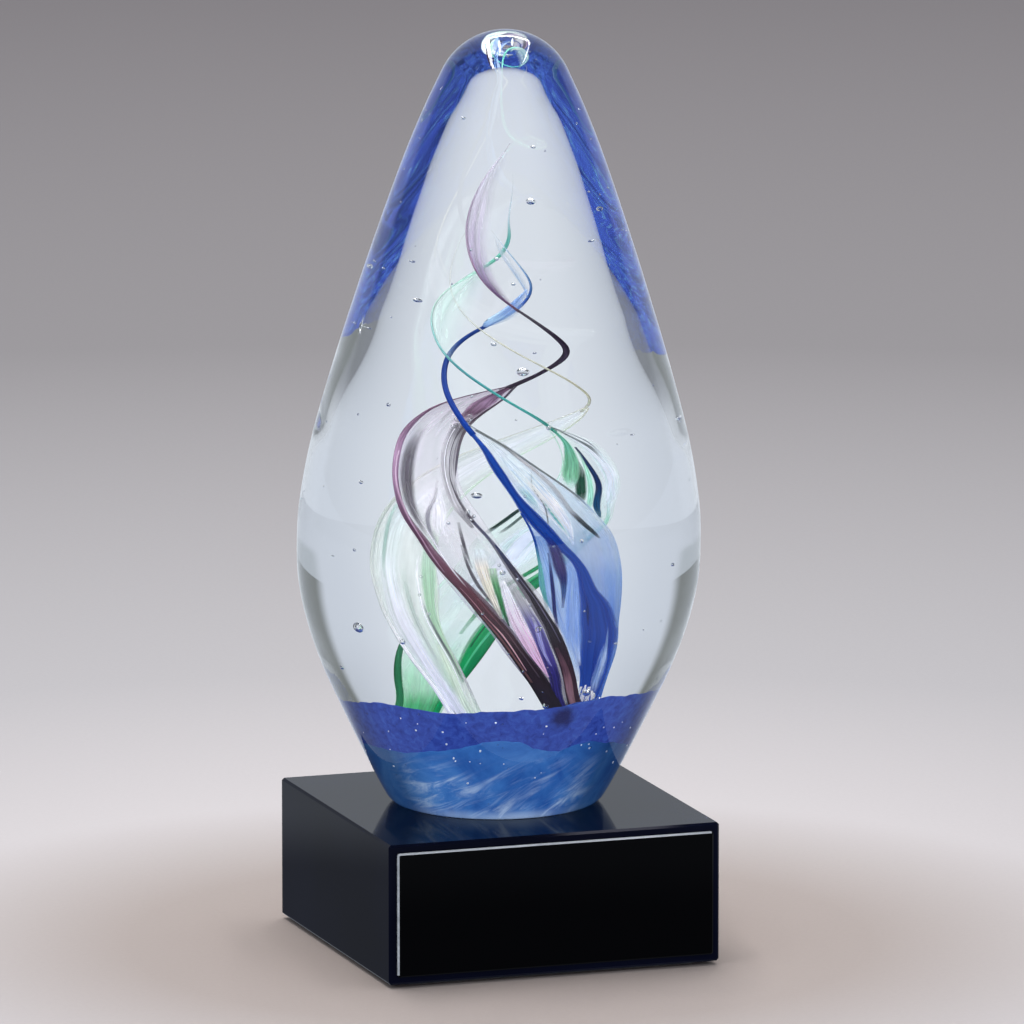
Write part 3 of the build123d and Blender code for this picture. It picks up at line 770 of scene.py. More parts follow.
# Sheets on a ribbon's body: how far out against the body's own front, how far in from the edges
# they fade, and rows of height, left, right, colour and alpha. An alpha of 1 is left out.
# Some grey sheets are painted shade along folds, and some white and silver sheets painted highlights; the
# rest are the glass's own colours.
VEILS = {
    "purple": [
        # Painted shade: a grey strip inside the left edge.
        (1, 0.7, [(60, 4.6, 3.8, SMOKE, 0), (66, 4.8, 2.8, SMOKE, 0.7), (71, 4.2, 1.6, SMOKE, 0.75),
            (75, 3.6, 1.2, SMOKE, 0.7), (81, 2.8, 1.4, SMOKE, 0)]),
        (1, 0.4, [(63, -3.9, -4.6, SMOKE, 0.4), (67, -2.8, -4.9, SILVER, 0.8), (72, -2.5, -4.9, SILVER, 0.9),
            (77, -2, -4.6, SILVER, 0.9), (81, -1.4, -3.8, SMOKE, 0.6)]),
        (1, 0.6, [(64, -4.6, -5.4, SMOKE, 0.8), (70, -3.7, -4.4, SMOKE, 0.95), (77, -3.1, -3.8, SMOKE, 0.9),
            (82, -2.6, -3.4, SMOKE, 0.6)]),
        (1, 0.6, [(66, -3.6, -4.1, MILK, 0.9), (72, -3, -3.4, MILK, 0.9), (80, -2.1, -2.4, MILK, 0.7)]),
        (1, 0.3, [(81, -0.6, -3.6, MAUVE, 0), (83, -0.7, -3.4, MAUVE, 0.85),
            (85, 0.5, -2.8, MAUVE_PALE, 0.95), (87.4, 0.5, -0.8, MAUVE), (88.2, 0.4, -0.4, MAUVE)]),
        (1, 0.5, [(80, 0.4, -0.2, SILVER, 0), (84, 1.6, 1.2, SILVER, 0.8), (87, 2.2, 1.9, SILVER, 0.6)]),
        (1, 0.5, [(56, 0.2, -0.2, SMOKE, 0.2), (60, -0.7, -1.4, SMOKE, 0.8), (64, -2.2, -2.8, SMOKE, 0.2)]),
        (1, 0.5, [(47, 1.2, 0.8, SMOKE, 0.2), (52, 1.7, 0.9, SMOKE, 0.9), (56, 0.9, 0.2, SMOKE, 0.9),
            (60, -0.4, -0.8, SMOKE, 0.2)]),
        # A fold: a grey line of painted shade, and beside it a broad white sheet of painted highlight.
        (1, 0.6, [(59.5, 3.7, 3.2, SILVER, 0.2), (62.5, 3.5, 2.7, (150, 150, 162), 0.7),
            (65.5, 2.2, 1.2, (150, 150, 162), 0.7), (68.5, -0.5, -1.3, SILVER, 0.7),
            (71.5, -1.7, -2.3, SILVER, 0.1)]),
        (1, 0.5, [(60, 3, 1, MILK, 0.1), (63, 2.5, 0, MILK, 0.4), (66, 1, -1.8, MILK, 0.4),
            (70, -1, -2.4, MILK, 0.1)]),
        (1, 0.4, [(46.5, 1.5, 1, CREAM, 0.3), (49, 1.3, 0.1, (238, 234, 222), 0.8),
            (51.5, 0.9, -0.8, CREAM, 0.85), (56, -0.4, -3, (234, 230, 220), 0.8),
            (59.3, -1.8, -4.2, ICE, 0.2)]),
        (1.1, 0.3, [(45.2, 1, 0.7, FOREST, 0.9), (48.3, 0.3, -0.4, (34, 122, 66), 0.95),
            (52.2, -1, -2.2, (84, 158, 104), 0.9), (56, -2.5, -4.1, (160, 196, 160), 0.4)]),
        (1.1, 0.2, [(35, 0.15, -0.1, PINK), (38, 0.6, -0.7, PINK), (42, 0.8, -1.6, (238, 210, 230)),
            (46.5, 0.2, -2.4, (242, 230, 242)), (50.5, -1.4, -3.2, MILK, 0.95), (53.5, -3, -3.8, MILK, 0.4)]),
        (1, 0.3, [(24.2, 1.6, -0.6, INDIGO), (30, 1.3, -0.3, INDIGO), (35, 0.1, -2, INDIGO),
            (40, -0.9, -3.4, (78, 68, 146), 0.95), (45, -2.1, -4.6, VIOLET, 0.95),
            (50, -3, -4.9, SILVER, 0.8), (54, -3.8, -5, SILVER, 0.2)]),
        (1.2, 0.3, [(37.3, -1.55, -1.8, (150, 150, 206), 0.8), (39, -1.5, -2, (164, 164, 214), 0.95),
            (42, -2, -2.9, (158, 158, 212), 0.95), (45, -3.2, -4, (176, 176, 222), 0.8),
            (47, -3.9, -4.3, SILVER, 0.2)]),
        (1, 0.6, [(46, 3.6, 3.3, MILK, 0.1), (60, 3.9, 3.4, MILK, 0.9), (68, 3.8, 3.3, MILK, 0.1)])],
    "blue": [
        (1, 0.3, [(25.6, 1, -1, ROYAL), (30, 1.2, -1.1, ROYAL), (35, 1.7, -1.7, ROYAL),
            (40, 2.4, -2.3, ROYAL), (42, 2.5, -2.7, ROYAL), (45, 2.9, -2.3, ROYAL), (47.5, 2.9, -1.7, ROYAL),
            (50, 2.8, -0.2, ROYAL), (55, 2.4, 0.4, ROYAL), (57.5, 3.1, 1.1, ROYAL),
            (60, 5.2, 2.2, ROYAL, 0.95), (65, 6.1, 2.8, ROYAL), (70, 4.8, 3, ROYAL), (75, 3.3, 1.3, ROYAL),
            (80, 0.9, -0.3, ROYAL), (85, 0.3, -0.3, ROYAL)]),
        (1, 0.4, [(34, 2.2, 1.6, ICE, 0.4), (38, 3.6, 2, (200, 220, 244), 0.8),
            (43, 5.8, 2.7, (196, 218, 244), 0.8), (49, 8.2, 3, (186, 212, 240), 0.75),
            (55, 7.8, 3, (172, 204, 238), 0.7), (61, 6.8, 5.2, (120, 160, 220), 0.4)]),
        (1.2, 0.5, [(47, 5.6, 5.2, NAVY, 0.3), (50, 5.5, 4.5, (58, 92, 150), 0.9),
            (52.5, 5.5, 3.9, NAVY, 0.95), (55, 5.8, 3.4, (66, 58, 118), 0.95),
            (58, 5.5, 3.1, (66, 58, 118), 0.9), (62, 5, 4.2, ROYAL, 0.4)]),
        (1.2, 0.5, [(43, 6.3, 5.7, NAVY, 0.8), (47, 7, 6.3, NAVY, 0.95), (52, 6.9, 6.2, NAVY, 0.9),
            (58, 5.8, 5.4, NAVY, 0.3)]),
        (1.2, 0.5, [(46, 8, 7.4, TEAL, 0.3), (50, 8.6, 7.7, TEAL, 0.9), (55, 8.1, 7.4, TEAL, 0.8),
            (60, 7.2, 6.7, ROYAL, 0.8), (64, 6.4, 6, ROYAL, 0.8)]),
        (1.2, 0.5, [(37, 2.8, 1.8, ICE, 0.5), (42, 4.8, 2.6, SKY, 0.8), (48, 5, 3, SKY, 0.8),
            (54, 3.6, 2.2, SKY, 0.7), (57, 3.2, 2.6, SKY, 0.1)]),
        (1.2, 0.6, [(31, -0.2, -0.7, ICE, 0), (34, 0.2, -1.2, SKY, 0.95), (38, -0.2, -1.6, SKY, 0.8),
            (41, -0.7, -1.4, SKY, 0)]),
        (1, 0.5, [(44, 1.8, 1.4, NAVY, 0.3), (46, 2, 1.3, (30, 52, 110), 0.9), (49, 2, 1.6, NAVY, 0.1)]),
        (1, 0.5, [(61, 1, 0.6, TEAL, 0.2), (65, 1.2, 0.3, TEAL, 0.9), (69, 0.4, -0.2, TEAL, 0.4)]),
        (1, 0.5, [(64, 2.9, 2.6, SLATE, 0.5), (68, 0.8, 0.4, SLATE, 0.9), (72, -0.5, -0.9, SLATE, 0.9),
            (75, -3, -3.3, SLATE, 0.2)]),
        (1, 0.4, [(59.5, 1.2, 0.7, MILK, 0.2), (63.5, 1.5, -1, MILK, 0.8), (68, 2.2, -2.4, MILK, 0.8),
            (74, 1, -3.2, (230, 240, 246), 0.75), (78, -0.2, -3, ICE, 0.3)]),
        (1.1, 0.5, [(66, 2.6, 1.8, ICE, 0.1), (70, 2.7, 0.8, (176, 214, 222), 0.8), (73, 2, 0.4, ICE, 0.1)]),
        (1.1, 0.5, [(60.6, -3.7, -4.2, (52, 56, 62), 0.3), (62.2, -3, -4.1, (52, 56, 62), 0.95),
            (64.5, -2.4, -3.7, (84, 90, 96), 0.9), (67.5, -2.4, -3.7, SILVER, 0.5),
            (72, -3.4, -4.6, SILVER, 0.5), (77, -3.2, -4.4, SILVER, 0.7), (80, -2.8, -3.7, SLATE, 0.9),
            (83, -0.8, -1.4, SLATE, 0.9)])],
    "green": [
        (1, 0.3, [(24.2, 0.8, -4.2, (50, 176, 104)), (29, 0.6, -4.4, (84, 190, 128), 0.9),
            (33, 2, -4.6, (176, 226, 196), 0.5), (38, 3.4, -4.2, MINT, 0.25), (44, 4, -3, ICE, 0.1)]),
        (1, 0.5, [(58.5, 9.4, 8.6, SLATE, 0), (60, 9.2, 8.5, (96, 112, 108), 0.85),
            (63, 8.6, 8, (96, 112, 108), 0.85), (65.5, 7, 6.6, SLATE, 0)]),
        (1, 0.5, [(42, -1, -1.6, EMERALD, 0.3), (48, 0.2, -0.8, EMERALD, 0.9), (53, -0.2, -1.4, EMERALD, 0.9),
            (59, -1.6, -2.4, EMERALD, 0.3)]),
        (1, 0.8, [(44, 3.6, 1, ICE, 0), (52, 7, 1, MILK, 0.7), (58, 8.4, 0.6, MILK, 0.8),
            (64, 5.4, 1, ICE, 0)]),
        (1, 0.5, [(66, 2.4, 0.6, FOREST, 0.2), (67.5, 2.4, 0.6, FOREST, 0.95), (71, 2.4, 0.4, FOREST, 0.95),
            (73, 1.4, 0.1, FOREST, 0.5), (77, 0.6, 0.2, FOREST, 0.1)]),
        (1.2, 0.4, [(69, 3.4, 2.4, MINT, 0.1), (72, 4.2, 1.2, (140, 196, 160), 0.9),
            (76, 2.6, 0, (128, 190, 156), 0.95), (80, 0.6, -0.6, (120, 196, 170), 0.95),
            (83, 0.3, -0.3, (100, 180, 160), 0.9)]),
        (1.2, 0.5, [(64, 0.4, -0.6, MINT, 0.3), (67, 0.5, -0.5, MINT, 0.9), (72, 0.3, -0.6, MINT, 0.8),
            (78, -0.6, -1.2, MINT, 0.3)]),
        (1.2, 0.3, [(62, -2.1, -2.5, (38, 96, 118), 0.7), (65, -0.5, -1.6, (38, 82, 118)),
            (70, -0.8, -1.8, (38, 54, 96)), (75, -0.6, -1.4, (40, 58, 100)),
            (79, -0.8, -1.2, (60, 70, 100), 0.8)]),
        (1, 0.7, [(64, -1.8, -3.3, MILK, 0.1), (68, -1.9, -4, MILK, 0.75), (73, -1.9, -4.8, MILK, 0.8),
            (78, -1.6, -4.7, MILK, 0.75), (82, -0.9, -2.4, MILK, 0.4)]),
        (1.2, 0.6, [(75, -3.6, -4, MILK, 0.3), (79, -3, -3.8, SLATE, 0.9), (82, -1.2, -1.8, SLATE, 0.8),
            (84, -0.2, -0.5, SLATE, 0.6)])],
    "ivory": [
        (1, 0.8, [(24.2, 3.8, 0.2, (226, 228, 242), 0.85), (32, 4, 0.6, (228, 230, 242), 0.85),
            (40, 5.4, 1.2, (228, 230, 242), 0.8), (46, 5.8, 1.6, (228, 230, 240), 0.75),
            (52, 5.2, 1.4, (224, 230, 236), 0.7), (58, 4.4, 0.6, (220, 230, 232), 0.45),
            (66, 3.8, 0, ICE, 0.1)]),
        (1.1, 0.6, [(36, 1.3, 0.8, (196, 206, 206), 0.1), (42, 1.6, 0.7, (196, 206, 206), 0.8),
            (48, 1.8, 0.8, (190, 204, 200), 0.8), (54, 1.4, 0.4, (190, 204, 200), 0.1)]),
        (1.1, 0.7, [(26, 1.2, -0.8, (214, 228, 214), 0.7), (32, 1, -1, (214, 228, 214), 0.8),
            (38, 0.4, -1.2, (216, 230, 216), 0.7), (44, -0.2, -1.2, SAGE, 0.1)]),
        (1.1, 0.4, [(36, -1.2, -2.1, (186, 214, 190), 0.5), (42, -1.2, -2.3, (180, 212, 186), 0.8),
            (47, -0.9, -2.5, (176, 212, 184), 0.8), (52, -1.4, -3.9, (176, 212, 186), 0.7),
            (57, -2, -4.1, (186, 216, 196), 0.5), (60, -2.4, -4, SAGE, 0)]),
        (1, 0.8, [(60, 3.4, -2, MILK, 0), (66, 3.2, -2.4, MILK, 0.35), (72, 3, -2.6, MILK, 0.4),
            (78, 2, -1.6, MILK, 0.3), (83, 0.4, -0.4, MILK, 0.3)]),
        (1.2, 0.6, [(34, -1.3, -1.7, SLATE, 0.2), (38, -1.3, -1.8, SLATE, 0.9),
            (42, -1, -1.6, (92, 98, 106), 0.9), (46, -0.7, -1.1, SLATE, 0.8), (48, -0.6, -0.9, SLATE, 0.1)]),
        (1.2, 0.5, [(30, -0.3, -0.6, MILK, 0.3), (38, -0.9, -1.2, MILK, 0.9), (46, -0.2, -0.6, MILK, 0.9),
            (52, -0.6, -1.1, MILK, 0.7), (56, -1.2, -1.6, MILK, 0.1)]),
        (1.2, 0.6, [(24.4, 3.2, 2.6, (92, 98, 170), 0.8), (27, 3, 2.7, SLATE, 0.7),
            (29, 3, 2.9, SLATE, 0.1)]),
        (1.1, 0.6, [(52, 4.4, 3.8, (168, 192, 184), 0.1), (58, 3.8, 3.1, (160, 188, 182), 0.7),
            (64, 4, 3.4, (176, 200, 196), 0.5), (68, 3.8, 3.5, SAGE, 0)])],
}

# Rows of height, colour and alpha of a ribbon's own body, which is pale and see-through.
BODY_TINTS = {
    "purple": [(24, (44, 34, 54), 0.95), (34, (92, 76, 104), 0.6), (44, (190, 184, 204), 0.3),
        (60, (226, 222, 230), 0.22), (76, (220, 212, 226), 0.24), (88, (204, 190, 208), 0.45)],
    "blue": [(24, ROYAL, 0.95), (36, (84, 130, 208), 0.85), (43, (114, 154, 212), 0.8),
        (51, (140, 174, 222), 0.72), (59, (174, 196, 226), 0.6), (66, (208, 222, 238), 0.42), (84, ICE, 0.3)],
    "green": [(24, (100, 206, 146), 0.8), (31, (214, 242, 226), 0.35), (48, (222, 242, 234), 0.25),
        (84, (230, 238, 238), 0.2)],
    "ivory": [(24, (212, 222, 214), 0.6), (45, (216, 224, 220), 0.45), (84, (226, 230, 230), 0.34)],
}

# The bars along a ribbon's left and right edges: rows of height, left, right, colour and alpha.
OUTER_BANDS = {
    "purple": [(24, 3.2, 0.4, SOOT), (30, 3.7, 0.4, SOOT), (35, 3.9, 0.5, (38, 26, 34)),
        (40, 4.1, 0.7, (44, 28, 36)), (45, 4.5, 0.9, (58, 32, 42)), (50, 5.2, 2, (84, 42, 54)),
        (55, 5.8, 3.2, (98, 58, 74)), (60, 6.1, 4.4, (108, 74, 96)), (65, 6.1, 4.9, (118, 88, 114)),
        (70, 5.2, 4.2, (146, 116, 146)), (75, 4.6, 3.6, (165, 135, 165), 0.95),
        (80, 4.4, 3.5, (130, 105, 130), 0.9), (85, 3.8, 3.4, (110, 85, 105), 0.9),
        (87.5, 2, 1.6, (90, 70, 90)), (88.6, 0.7, 0.3, SMOKE)],
    "blue": [(66, -6, -6.3, SKY, 0.2), (70, -5.9, -6.4, SLATE, 0.6), (75, -4.6, -5.1, SLATE, 0.9),
        (80, -3.3, -3.7, SLATE, 0.9), (84, -0.6, -0.9, SLATE)],
    "green": [(24, 1.1, 0.2, EMERALD), (30, 1.3, 0.4, (40, 120, 78)), (35, 2.9, 1.9, (36, 112, 72)),
        (40, 4.5, 3.8, (50, 120, 84)), (45, 5.7, 5.3, (150, 190, 170), 0.3), (52, 9.1, 8.6, MINT, 0),
        (58, 10.9, 10.1, SLATE, 0), (60, 10.8, 10, (62, 78, 74), 0.95), (63.5, 10, 9.2, (62, 78, 74), 0.95),
        (65.5, 8.6, 7.9, SLATE, 0), (70, 5.6, 5.3, MINT, 0.2), (76, 2.8, 2.6, MINT, 0.3),
        (84, 0.3, 0.1, MINT, 0.6)],
    "ivory": [(24, 4, 2.9, MILK, 0.8), (32, 4.3, 3.3, MILK, 0.8), (40, 5.7, 4.9, MILK, 0.8),
        (50, 6.2, 5.6, (206, 212, 212), 0.8), (60, 4.9, 4.4, (196, 206, 204), 0.7),
        (70, 4.1, 3.7, (206, 208, 202), 0.7), (78, 2.8, 2.5, (210, 212, 206), 0.7),
        (84, 0.5, 0.3, CREAM, 0.8)],
}
INNER_BANDS = {
    "purple": [(24, -0.2, -2.5, (50, 32, 44)), (30, -0.7, -2.9, (60, 38, 50)), (35, -2.2, -4.4, (62, 38, 50)),
        (38, -3, -5.3, (52, 32, 44)), (42, -3.8, -6.3, (36, 26, 36)), (45, -4.5, -6.8, (30, 24, 36)),
        (50, -4.9, -6.9, SOOT), (55, -5.4, -7, (44, 38, 56)), (58, -5.6, -6.7, (40, 46, 78)),
        (61, -5.3, -6, (44, 52, 88)), (65, -4.3, -5, (62, 66, 96)), (68, -3.8, -4.4, SMOKE),
        (74, -4.4, -5, SMOKE, 0.95), (80, -3.6, -4.2, (96, 88, 96), 0.9),
        (85, -2.9, -3.3, (92, 76, 92), 0.95), (88.6, -0.2, -0.6, SMOKE)],
    "blue": [(24, 1.3, 0.7, ROYAL, 0.9), (36, 1.9, 1.5, ROYAL, 0.8), (44, 5.6, 5.2, SKY, 0.5),
        (50, 8.6, 8.3, TEAL, 0.7), (56, 7.9, 7.6, TEAL, 0.6), (60, 7.2, 6.9, ROYAL, 0.8),
        (66, 6.1, 5.7, ROYAL, 0.9)],
    "green": [(24, -3.2, -4.4, EMERALD, 0.9), (30, -3.4, -4.4, EMERALD, 0.9), (35, -4, -5.9, EMERALD),
        (40, -3.3, -6.3, EMERALD), (45, -2.3, -5.3, EMERALD), (50, -1.8, -4.5, EMERALD),
        (55, -2.2, -3.7, (60, 160, 116), 0.9), (60, -3.2, -3.9, MINT, 0.6), (66, -2.2, -2.6, MILK, 0.6),
        (72, -3.2, -3.6, MILK, 0.6), (80, -3.6, -3.9, (150, 152, 168), 0.7), (84, -0.3, -0.5, SLATE, 0.8)],
    "ivory": [(24, -0.9, -1.5, SAGE, 0.8), (36, -1.9, -2.3, SILVER, 0.7), (44, -2, -2.3, SAGE, 0.5),
        (52, -3.6, -4, SAGE, 0.4), (62, -3.8, -4.2, SAGE, 0.5), (74, -3.1, -3.5, SAGE, 0.5),
        (84, -0.4, -0.6, CREAM, 0.7)],
}

# Bright streaks on the bars, partly painted highlights and partly the glass's own colour, such as the white
# loops of the blue ribbon's knot: how far in front of the bar, then rows as above.
STREAKS_AND_HIGHLIGHTS = {
    "purple": [
        (1.75, [(36.5, 2.95, 2.8, (196, 150, 156)), (41.5, 3, 2.72, (214, 172, 178)),
            (44, 3.2, 2.9, (206, 160, 168)), (46.5, 3.7, 3.5, (176, 122, 132)),
            (52, 4.7, 4.6, (160, 116, 132))]),
        (1.45, [(34, 3.4, 3, (92, 62, 62)), (38, 3.6, 3.2, (108, 72, 72)), (43, 3.9, 3.5, (112, 70, 74)),
            (47, 4.4, 4.1, (110, 62, 70))]),
        (1.6, [(35, 1.6, 1.3, (70, 56, 66)), (40, 1.9, 1.6, (78, 60, 70)), (45, 2.3, 2, (98, 62, 72)),
            (50, 3.2, 3, (120, 72, 84))]),
        (1, [(55, 5.3, 5, (150, 118, 140)), (62, 5.6, 5.3, (170, 140, 164)), (70, 4.9, 4.6, (196, 168, 194)),
            (76, 4.2, 4, (206, 184, 206))]),
        (1.3, [(27.5, -0.9, -1.7, (112, 78, 84)), (31, -1.3, -2.5, (150, 112, 114)),
            (34, -2.2, -3.5, (138, 98, 104)), (37, -3.2, -4.3, (98, 66, 76)),
            (41, -4.2, -4.8, (62, 42, 56))]),
        (1.4, [(29, -1.35, -1.7, (176, 138, 138)), (32, -1.9, -2.4, (186, 148, 146)),
            (35, -2.8, -3.2, (160, 122, 126)), (37.5, -3.6, -3.8, (120, 84, 94))]),
        (1.25, [(42, -5.7, -5.85, (70, 62, 88)), (47, -6.3, -6.5, (104, 98, 124)),
            (52, -6.4, -6.55, (110, 106, 130)), (55, -6.5, -6.6, (96, 96, 128))])],
    "blue": [
        (2.1, [(27.9, 1.9, 1.5, MILK), (30.7, 1.8, 1.4, MILK), (32.3, 1.4, 1.1, MILK)]),
        (2.3, [(27.9, 1.3, 0.9, TEAL), (31.3, 1.2, 0.8, ICE), (32.9, 1, 0.7, MILK)]),
        (2.4, [(27.9, 0.6, 0.1, MILK), (31.5, 0.6, 0.1, MILK), (33.2, 0.4, 0.2, MILK)]),
        (2.3, [(27.9, -0.1, -0.5, ICE), (31.3, 0, -0.5, MILK), (32.8, 0, -0.4, MILK)]),
        (2.1, [(27.9, -0.8, -1.3, MILK), (30.5, -0.7, -1.1, MILK), (32, -0.5, -0.8, MILK)]),
        (1.6, [(34, -0.9, -1.1, (188, 210, 240), 0.1), (38, -1.1, -1.6, (190, 212, 242), 0.7),
            (42, -1.3, -1.6, (150, 184, 232), 0.3), (44, -1.4, -1.5, (150, 184, 232), 0)])],
    "ivory": [],
    "green": [
        (1.5, [(36, -4.7, -5, (70, 190, 134)), (42, -4.5, -4.9, (86, 200, 146)),
            (47, -3.6, -3.9, (60, 190, 130))]),
        (1.5, [(40, -3.8, -4, (6, 104, 66)), (46, -2.8, -3.1, (6, 96, 60)),
            (52, -2.4, -2.7, (14, 112, 74))])],
}

# Rows of height, radius, shift left of the path, colour and alpha.
THREADS = {
    "purple": [(87.5, 0.45, 0, (62, 54, 66)), (92, 0.34, 0, (58, 50, 64)), (97, 0.52, -0.3, (70, 62, 78)),
        (102, 0.42, -0.1, (62, 52, 70)), (108, 0.26, 0, SMOKE), (116, 0.22, 0.3, MAUVE_PALE, 0.9),
        (126, 0.16, 0.3, (190, 176, 198), 0.8), (136, 0.12, -0.6, (190, 180, 200), 0.6),
        (144, 0.08, -1.6, (200, 196, 210), 0.2)],
    "blue": [(82, 0.54, 0, ROYAL), (88, 0.50, -0.3, (46, 72, 156)), (94, 0.42, -0.3, (48, 70, 140)),
        (100, 0.36, 0, (46, 72, 140)), (108, 0.26, 0, (52, 88, 160)), (114, 0.18, -0.4, (110, 150, 200), 0.9),
        (120, 0.12, 0, (180, 205, 228), 0.7), (126, 0.08, 0.4, ICE, 0.08)],
    "green": [(82.5, 0.34, 0, (70, 150, 136)), (88, 0.27, 0, (92, 186, 182)), (96, 0.25, 0.2, (84, 160, 168)),
        (102, 0.18, 0.2, (150, 200, 200), 0.8), (110, 0.12, 0, (196, 222, 216), 0.6),
        (117, 0.30, -0.8, (130, 212, 190), 0.9), (122, 0.28, -0.4, (120, 204, 190), 0.9),
        (128, 0.12, 0.3, (190, 216, 228), 0.35), (138, 0.06, -0.4, ICE, 0.06)],
    "ivory": [(83, 0.26, 0, CREAM, 0.9), (90, 0.20, 0, (226, 222, 196), 0.8),
        (100, 0.18, 0, (224, 224, 208), 0.6), (112, 0.14, -0.5, (214, 220, 216), 0.25),
        (126, 0.08, -1, (214, 220, 220), 0.05)],
}

# Sheets that hang on a thread, with rows as in VEILS.
PETALS = {
    "purple": [
        [(109, 0.4, 0, MAUVE, 0.9), (113, 0.4, -1.6, (128, 104, 140), 0.9),
            (117, 0.4, -2.6, (170, 154, 186), 0.75), (123, 0.3, -3.4, (200, 190, 214), 0.6),
            (130, 0, -3.8, (214, 208, 226), 0.5), (137, -0.4, -2.8, (216, 214, 228), 0.4),
            (142, -1.2, -2, (220, 220, 232), 0.2)]],
    "blue": [
        [(102.5, 0.6, -0.4, SKY, 0.9), (104, 1.7, -1.7, (170, 202, 234), 0.9), (107, 1.9, -0.9, SKY, 0.9),
            (109.5, 1.5, -0.1, SKY, 0.8), (112, 0.4, 0, SKY, 0.5)],
        [(110, 0.2, -0.2, SKY, 0.5), (115, 1.4, 0, (190, 212, 234), 0.5), (121, 1.6, 0, ICE, 0.4),
            (125, 0.6, 0, ICE, 0.1)]],
    "green": [
        [(98, 0.1, -0.6, (206, 230, 226), 0.1), (103, 0.1, -4.8, (206, 230, 226), 0.28),
            (108, 0.1, -6.5, (206, 230, 226), 0.34), (113, 0, -4, (200, 228, 222), 0.34),
            (117, 0, -0.8, (190, 224, 214), 0.25)]],
    "ivory": [],
}

# How much darker and brighter the streaks in a ribbon's glass are than its colour.
COLOUR_STREAKS = {
    "purple": ((0.42, 0.38, 0.44), (1.25, 1.22, 1.26)),
    "blue": ((0.50, 0.64, 0.86), (1.35, 1.28, 1.15)),
    "green": ((0.46, 0.70, 0.58), (1.25, 1.30, 1.25)),
    "ivory": ((0.66, 0.72, 0.68), (1.16, 1.16, 1.16)),
}


def ribbon_pieces(colour):
    """A ribbon's glass in three pieces: its body and sheets, and its left and right bars."""
    streaks = COLOUR_STREAKS[colour]
    streaked = ribbon_material(f"{colour}_streaked_glass", *streaks, (0.6, 1.25), 0.85)
    veined = ribbon_material(f"{colour}_veined_glass", *streaks, (1.0, 1.2), 0.5, rings=1.3, stretch=4.0)
    sheets = [band(colour, BODIES[colour], BODY_TINTS[colour], BODY_DEPTH, count=36)]
    sheets += [leaf(colour, *veil) for veil in VEILS[colour]]
    sheets += [petal(colour, rows) for rows in PETALS[colour]]
    outer = [band(colour, OUTER_BANDS[colour], OUTER_BANDS[colour], BAND_DEPTH, BAND_STAND)]
    outer += [thread(colour, THREADS[colour])]
    # Bright streaks in front of the bars, partly painted highlights.
    outer += [band(colour, rows, rows, STREAK_AND_HIGHLIGHT_DEPTH, BAND_STAND + forward)
              for forward, rows in STREAKS_AND_HIGHLIGHTS[colour]]
    inner = [band(colour, INNER_BANDS[colour], INNER_BANDS[colour], BAND_DEPTH, BAND_STAND)]
    for part, slot, strips, material in (("veil", "veil_glass", sheets, streaked),
                                         ("cane", "glass", outer, veined),
                                         ("inner_cane", "inner_glass", inner, veined)):
        name = f"{colour}_{part}_glass"
        add_object(name, painted(name, strips), material, [f"{colour}_{part}"])


for colour in ("purple", "blue", "green", "ivory"):
    ribbon_pieces(colour)

# ---------------------------------------------------------------- seed bubbles

# Rows of height, distance from the axis, angle in degrees and radius, as in the CAD.
BUBBLES = [(132.4, 6, -46, 0.9), (94.3, 4.1, -40, 1.1), (119.7, 3.2, -110, 0.4), (113.5, 2.5, -30, 0.4),
    (100.7, 3, -120, 0.5), (89.9, 25, -163, 0.5), (72.3, 26.5, -175, 0.5), (66.6, 26, -130, 0.4),
    (43.8, 29, -170, 1.2), (42, 27, -150, 0.6), (59.8, 33, -165, 0.4), (41.2, 29, -60, 0.4),
    (55.1, 33, -35, 0.5), (62.7, 28, -75, 0.4), (31, 25, -68, 0.9), (30.5, 22, -98, 0.5), (78, 27, 20, 0.5),
    (62, 30, 75, 0.6), (48, 30, 120, 0.7), (105, 20, 95, 0.5), (150, 5, 160, 0.4), (143, 6, 10, 0.4),
    (34.5, 27, 170, 0.5), (36, 28, 30, 0.6)]
# Bubbles caught on a ribbon's front: ribbon, height, mm left of its path, and radius.
CAUGHT = [("purple", 47.5, 3.8, 0.28), ("purple", 40, 4, 0.26), ("purple", 36.4, 3.4, 0.26),
    ("purple", 32, 2.2, 0.22), ("purple", 56.7, -4.9, 0.30), ("purple", 55.3, -4.6, 0.50),
    ("purple", 49, -5.1, 0.26), ("purple", 44.6, -3.7, 0.52), ("purple", 37, -1, 0.22),
    ("purple", 82, -0.9, 0.50), ("purple", 81.4, -1.9, 0.42), ("purple", 80.7, -1.4, 0.34),
    ("purple", 81.9, -2.7, 0.30), ("purple", 82.8, -1.8, 0.34), ("purple", 66, -5, 0.40),
    ("purple", 65.2, -5.6, 0.30), ("purple", 64.6, -4.8, 0.26), ("blue", 59.4, 4, 0.22),
    ("blue", 41.3, 0.9, 0.22), ("blue", 70.2, 2, 0.26), ("ivory", 52.6, -1.4, 0.34),
    ("ivory", 46.6, -1, 0.30), ("ivory", 49.4, -0.4, 0.24), ("green", 84, -0.2, 0.40)]
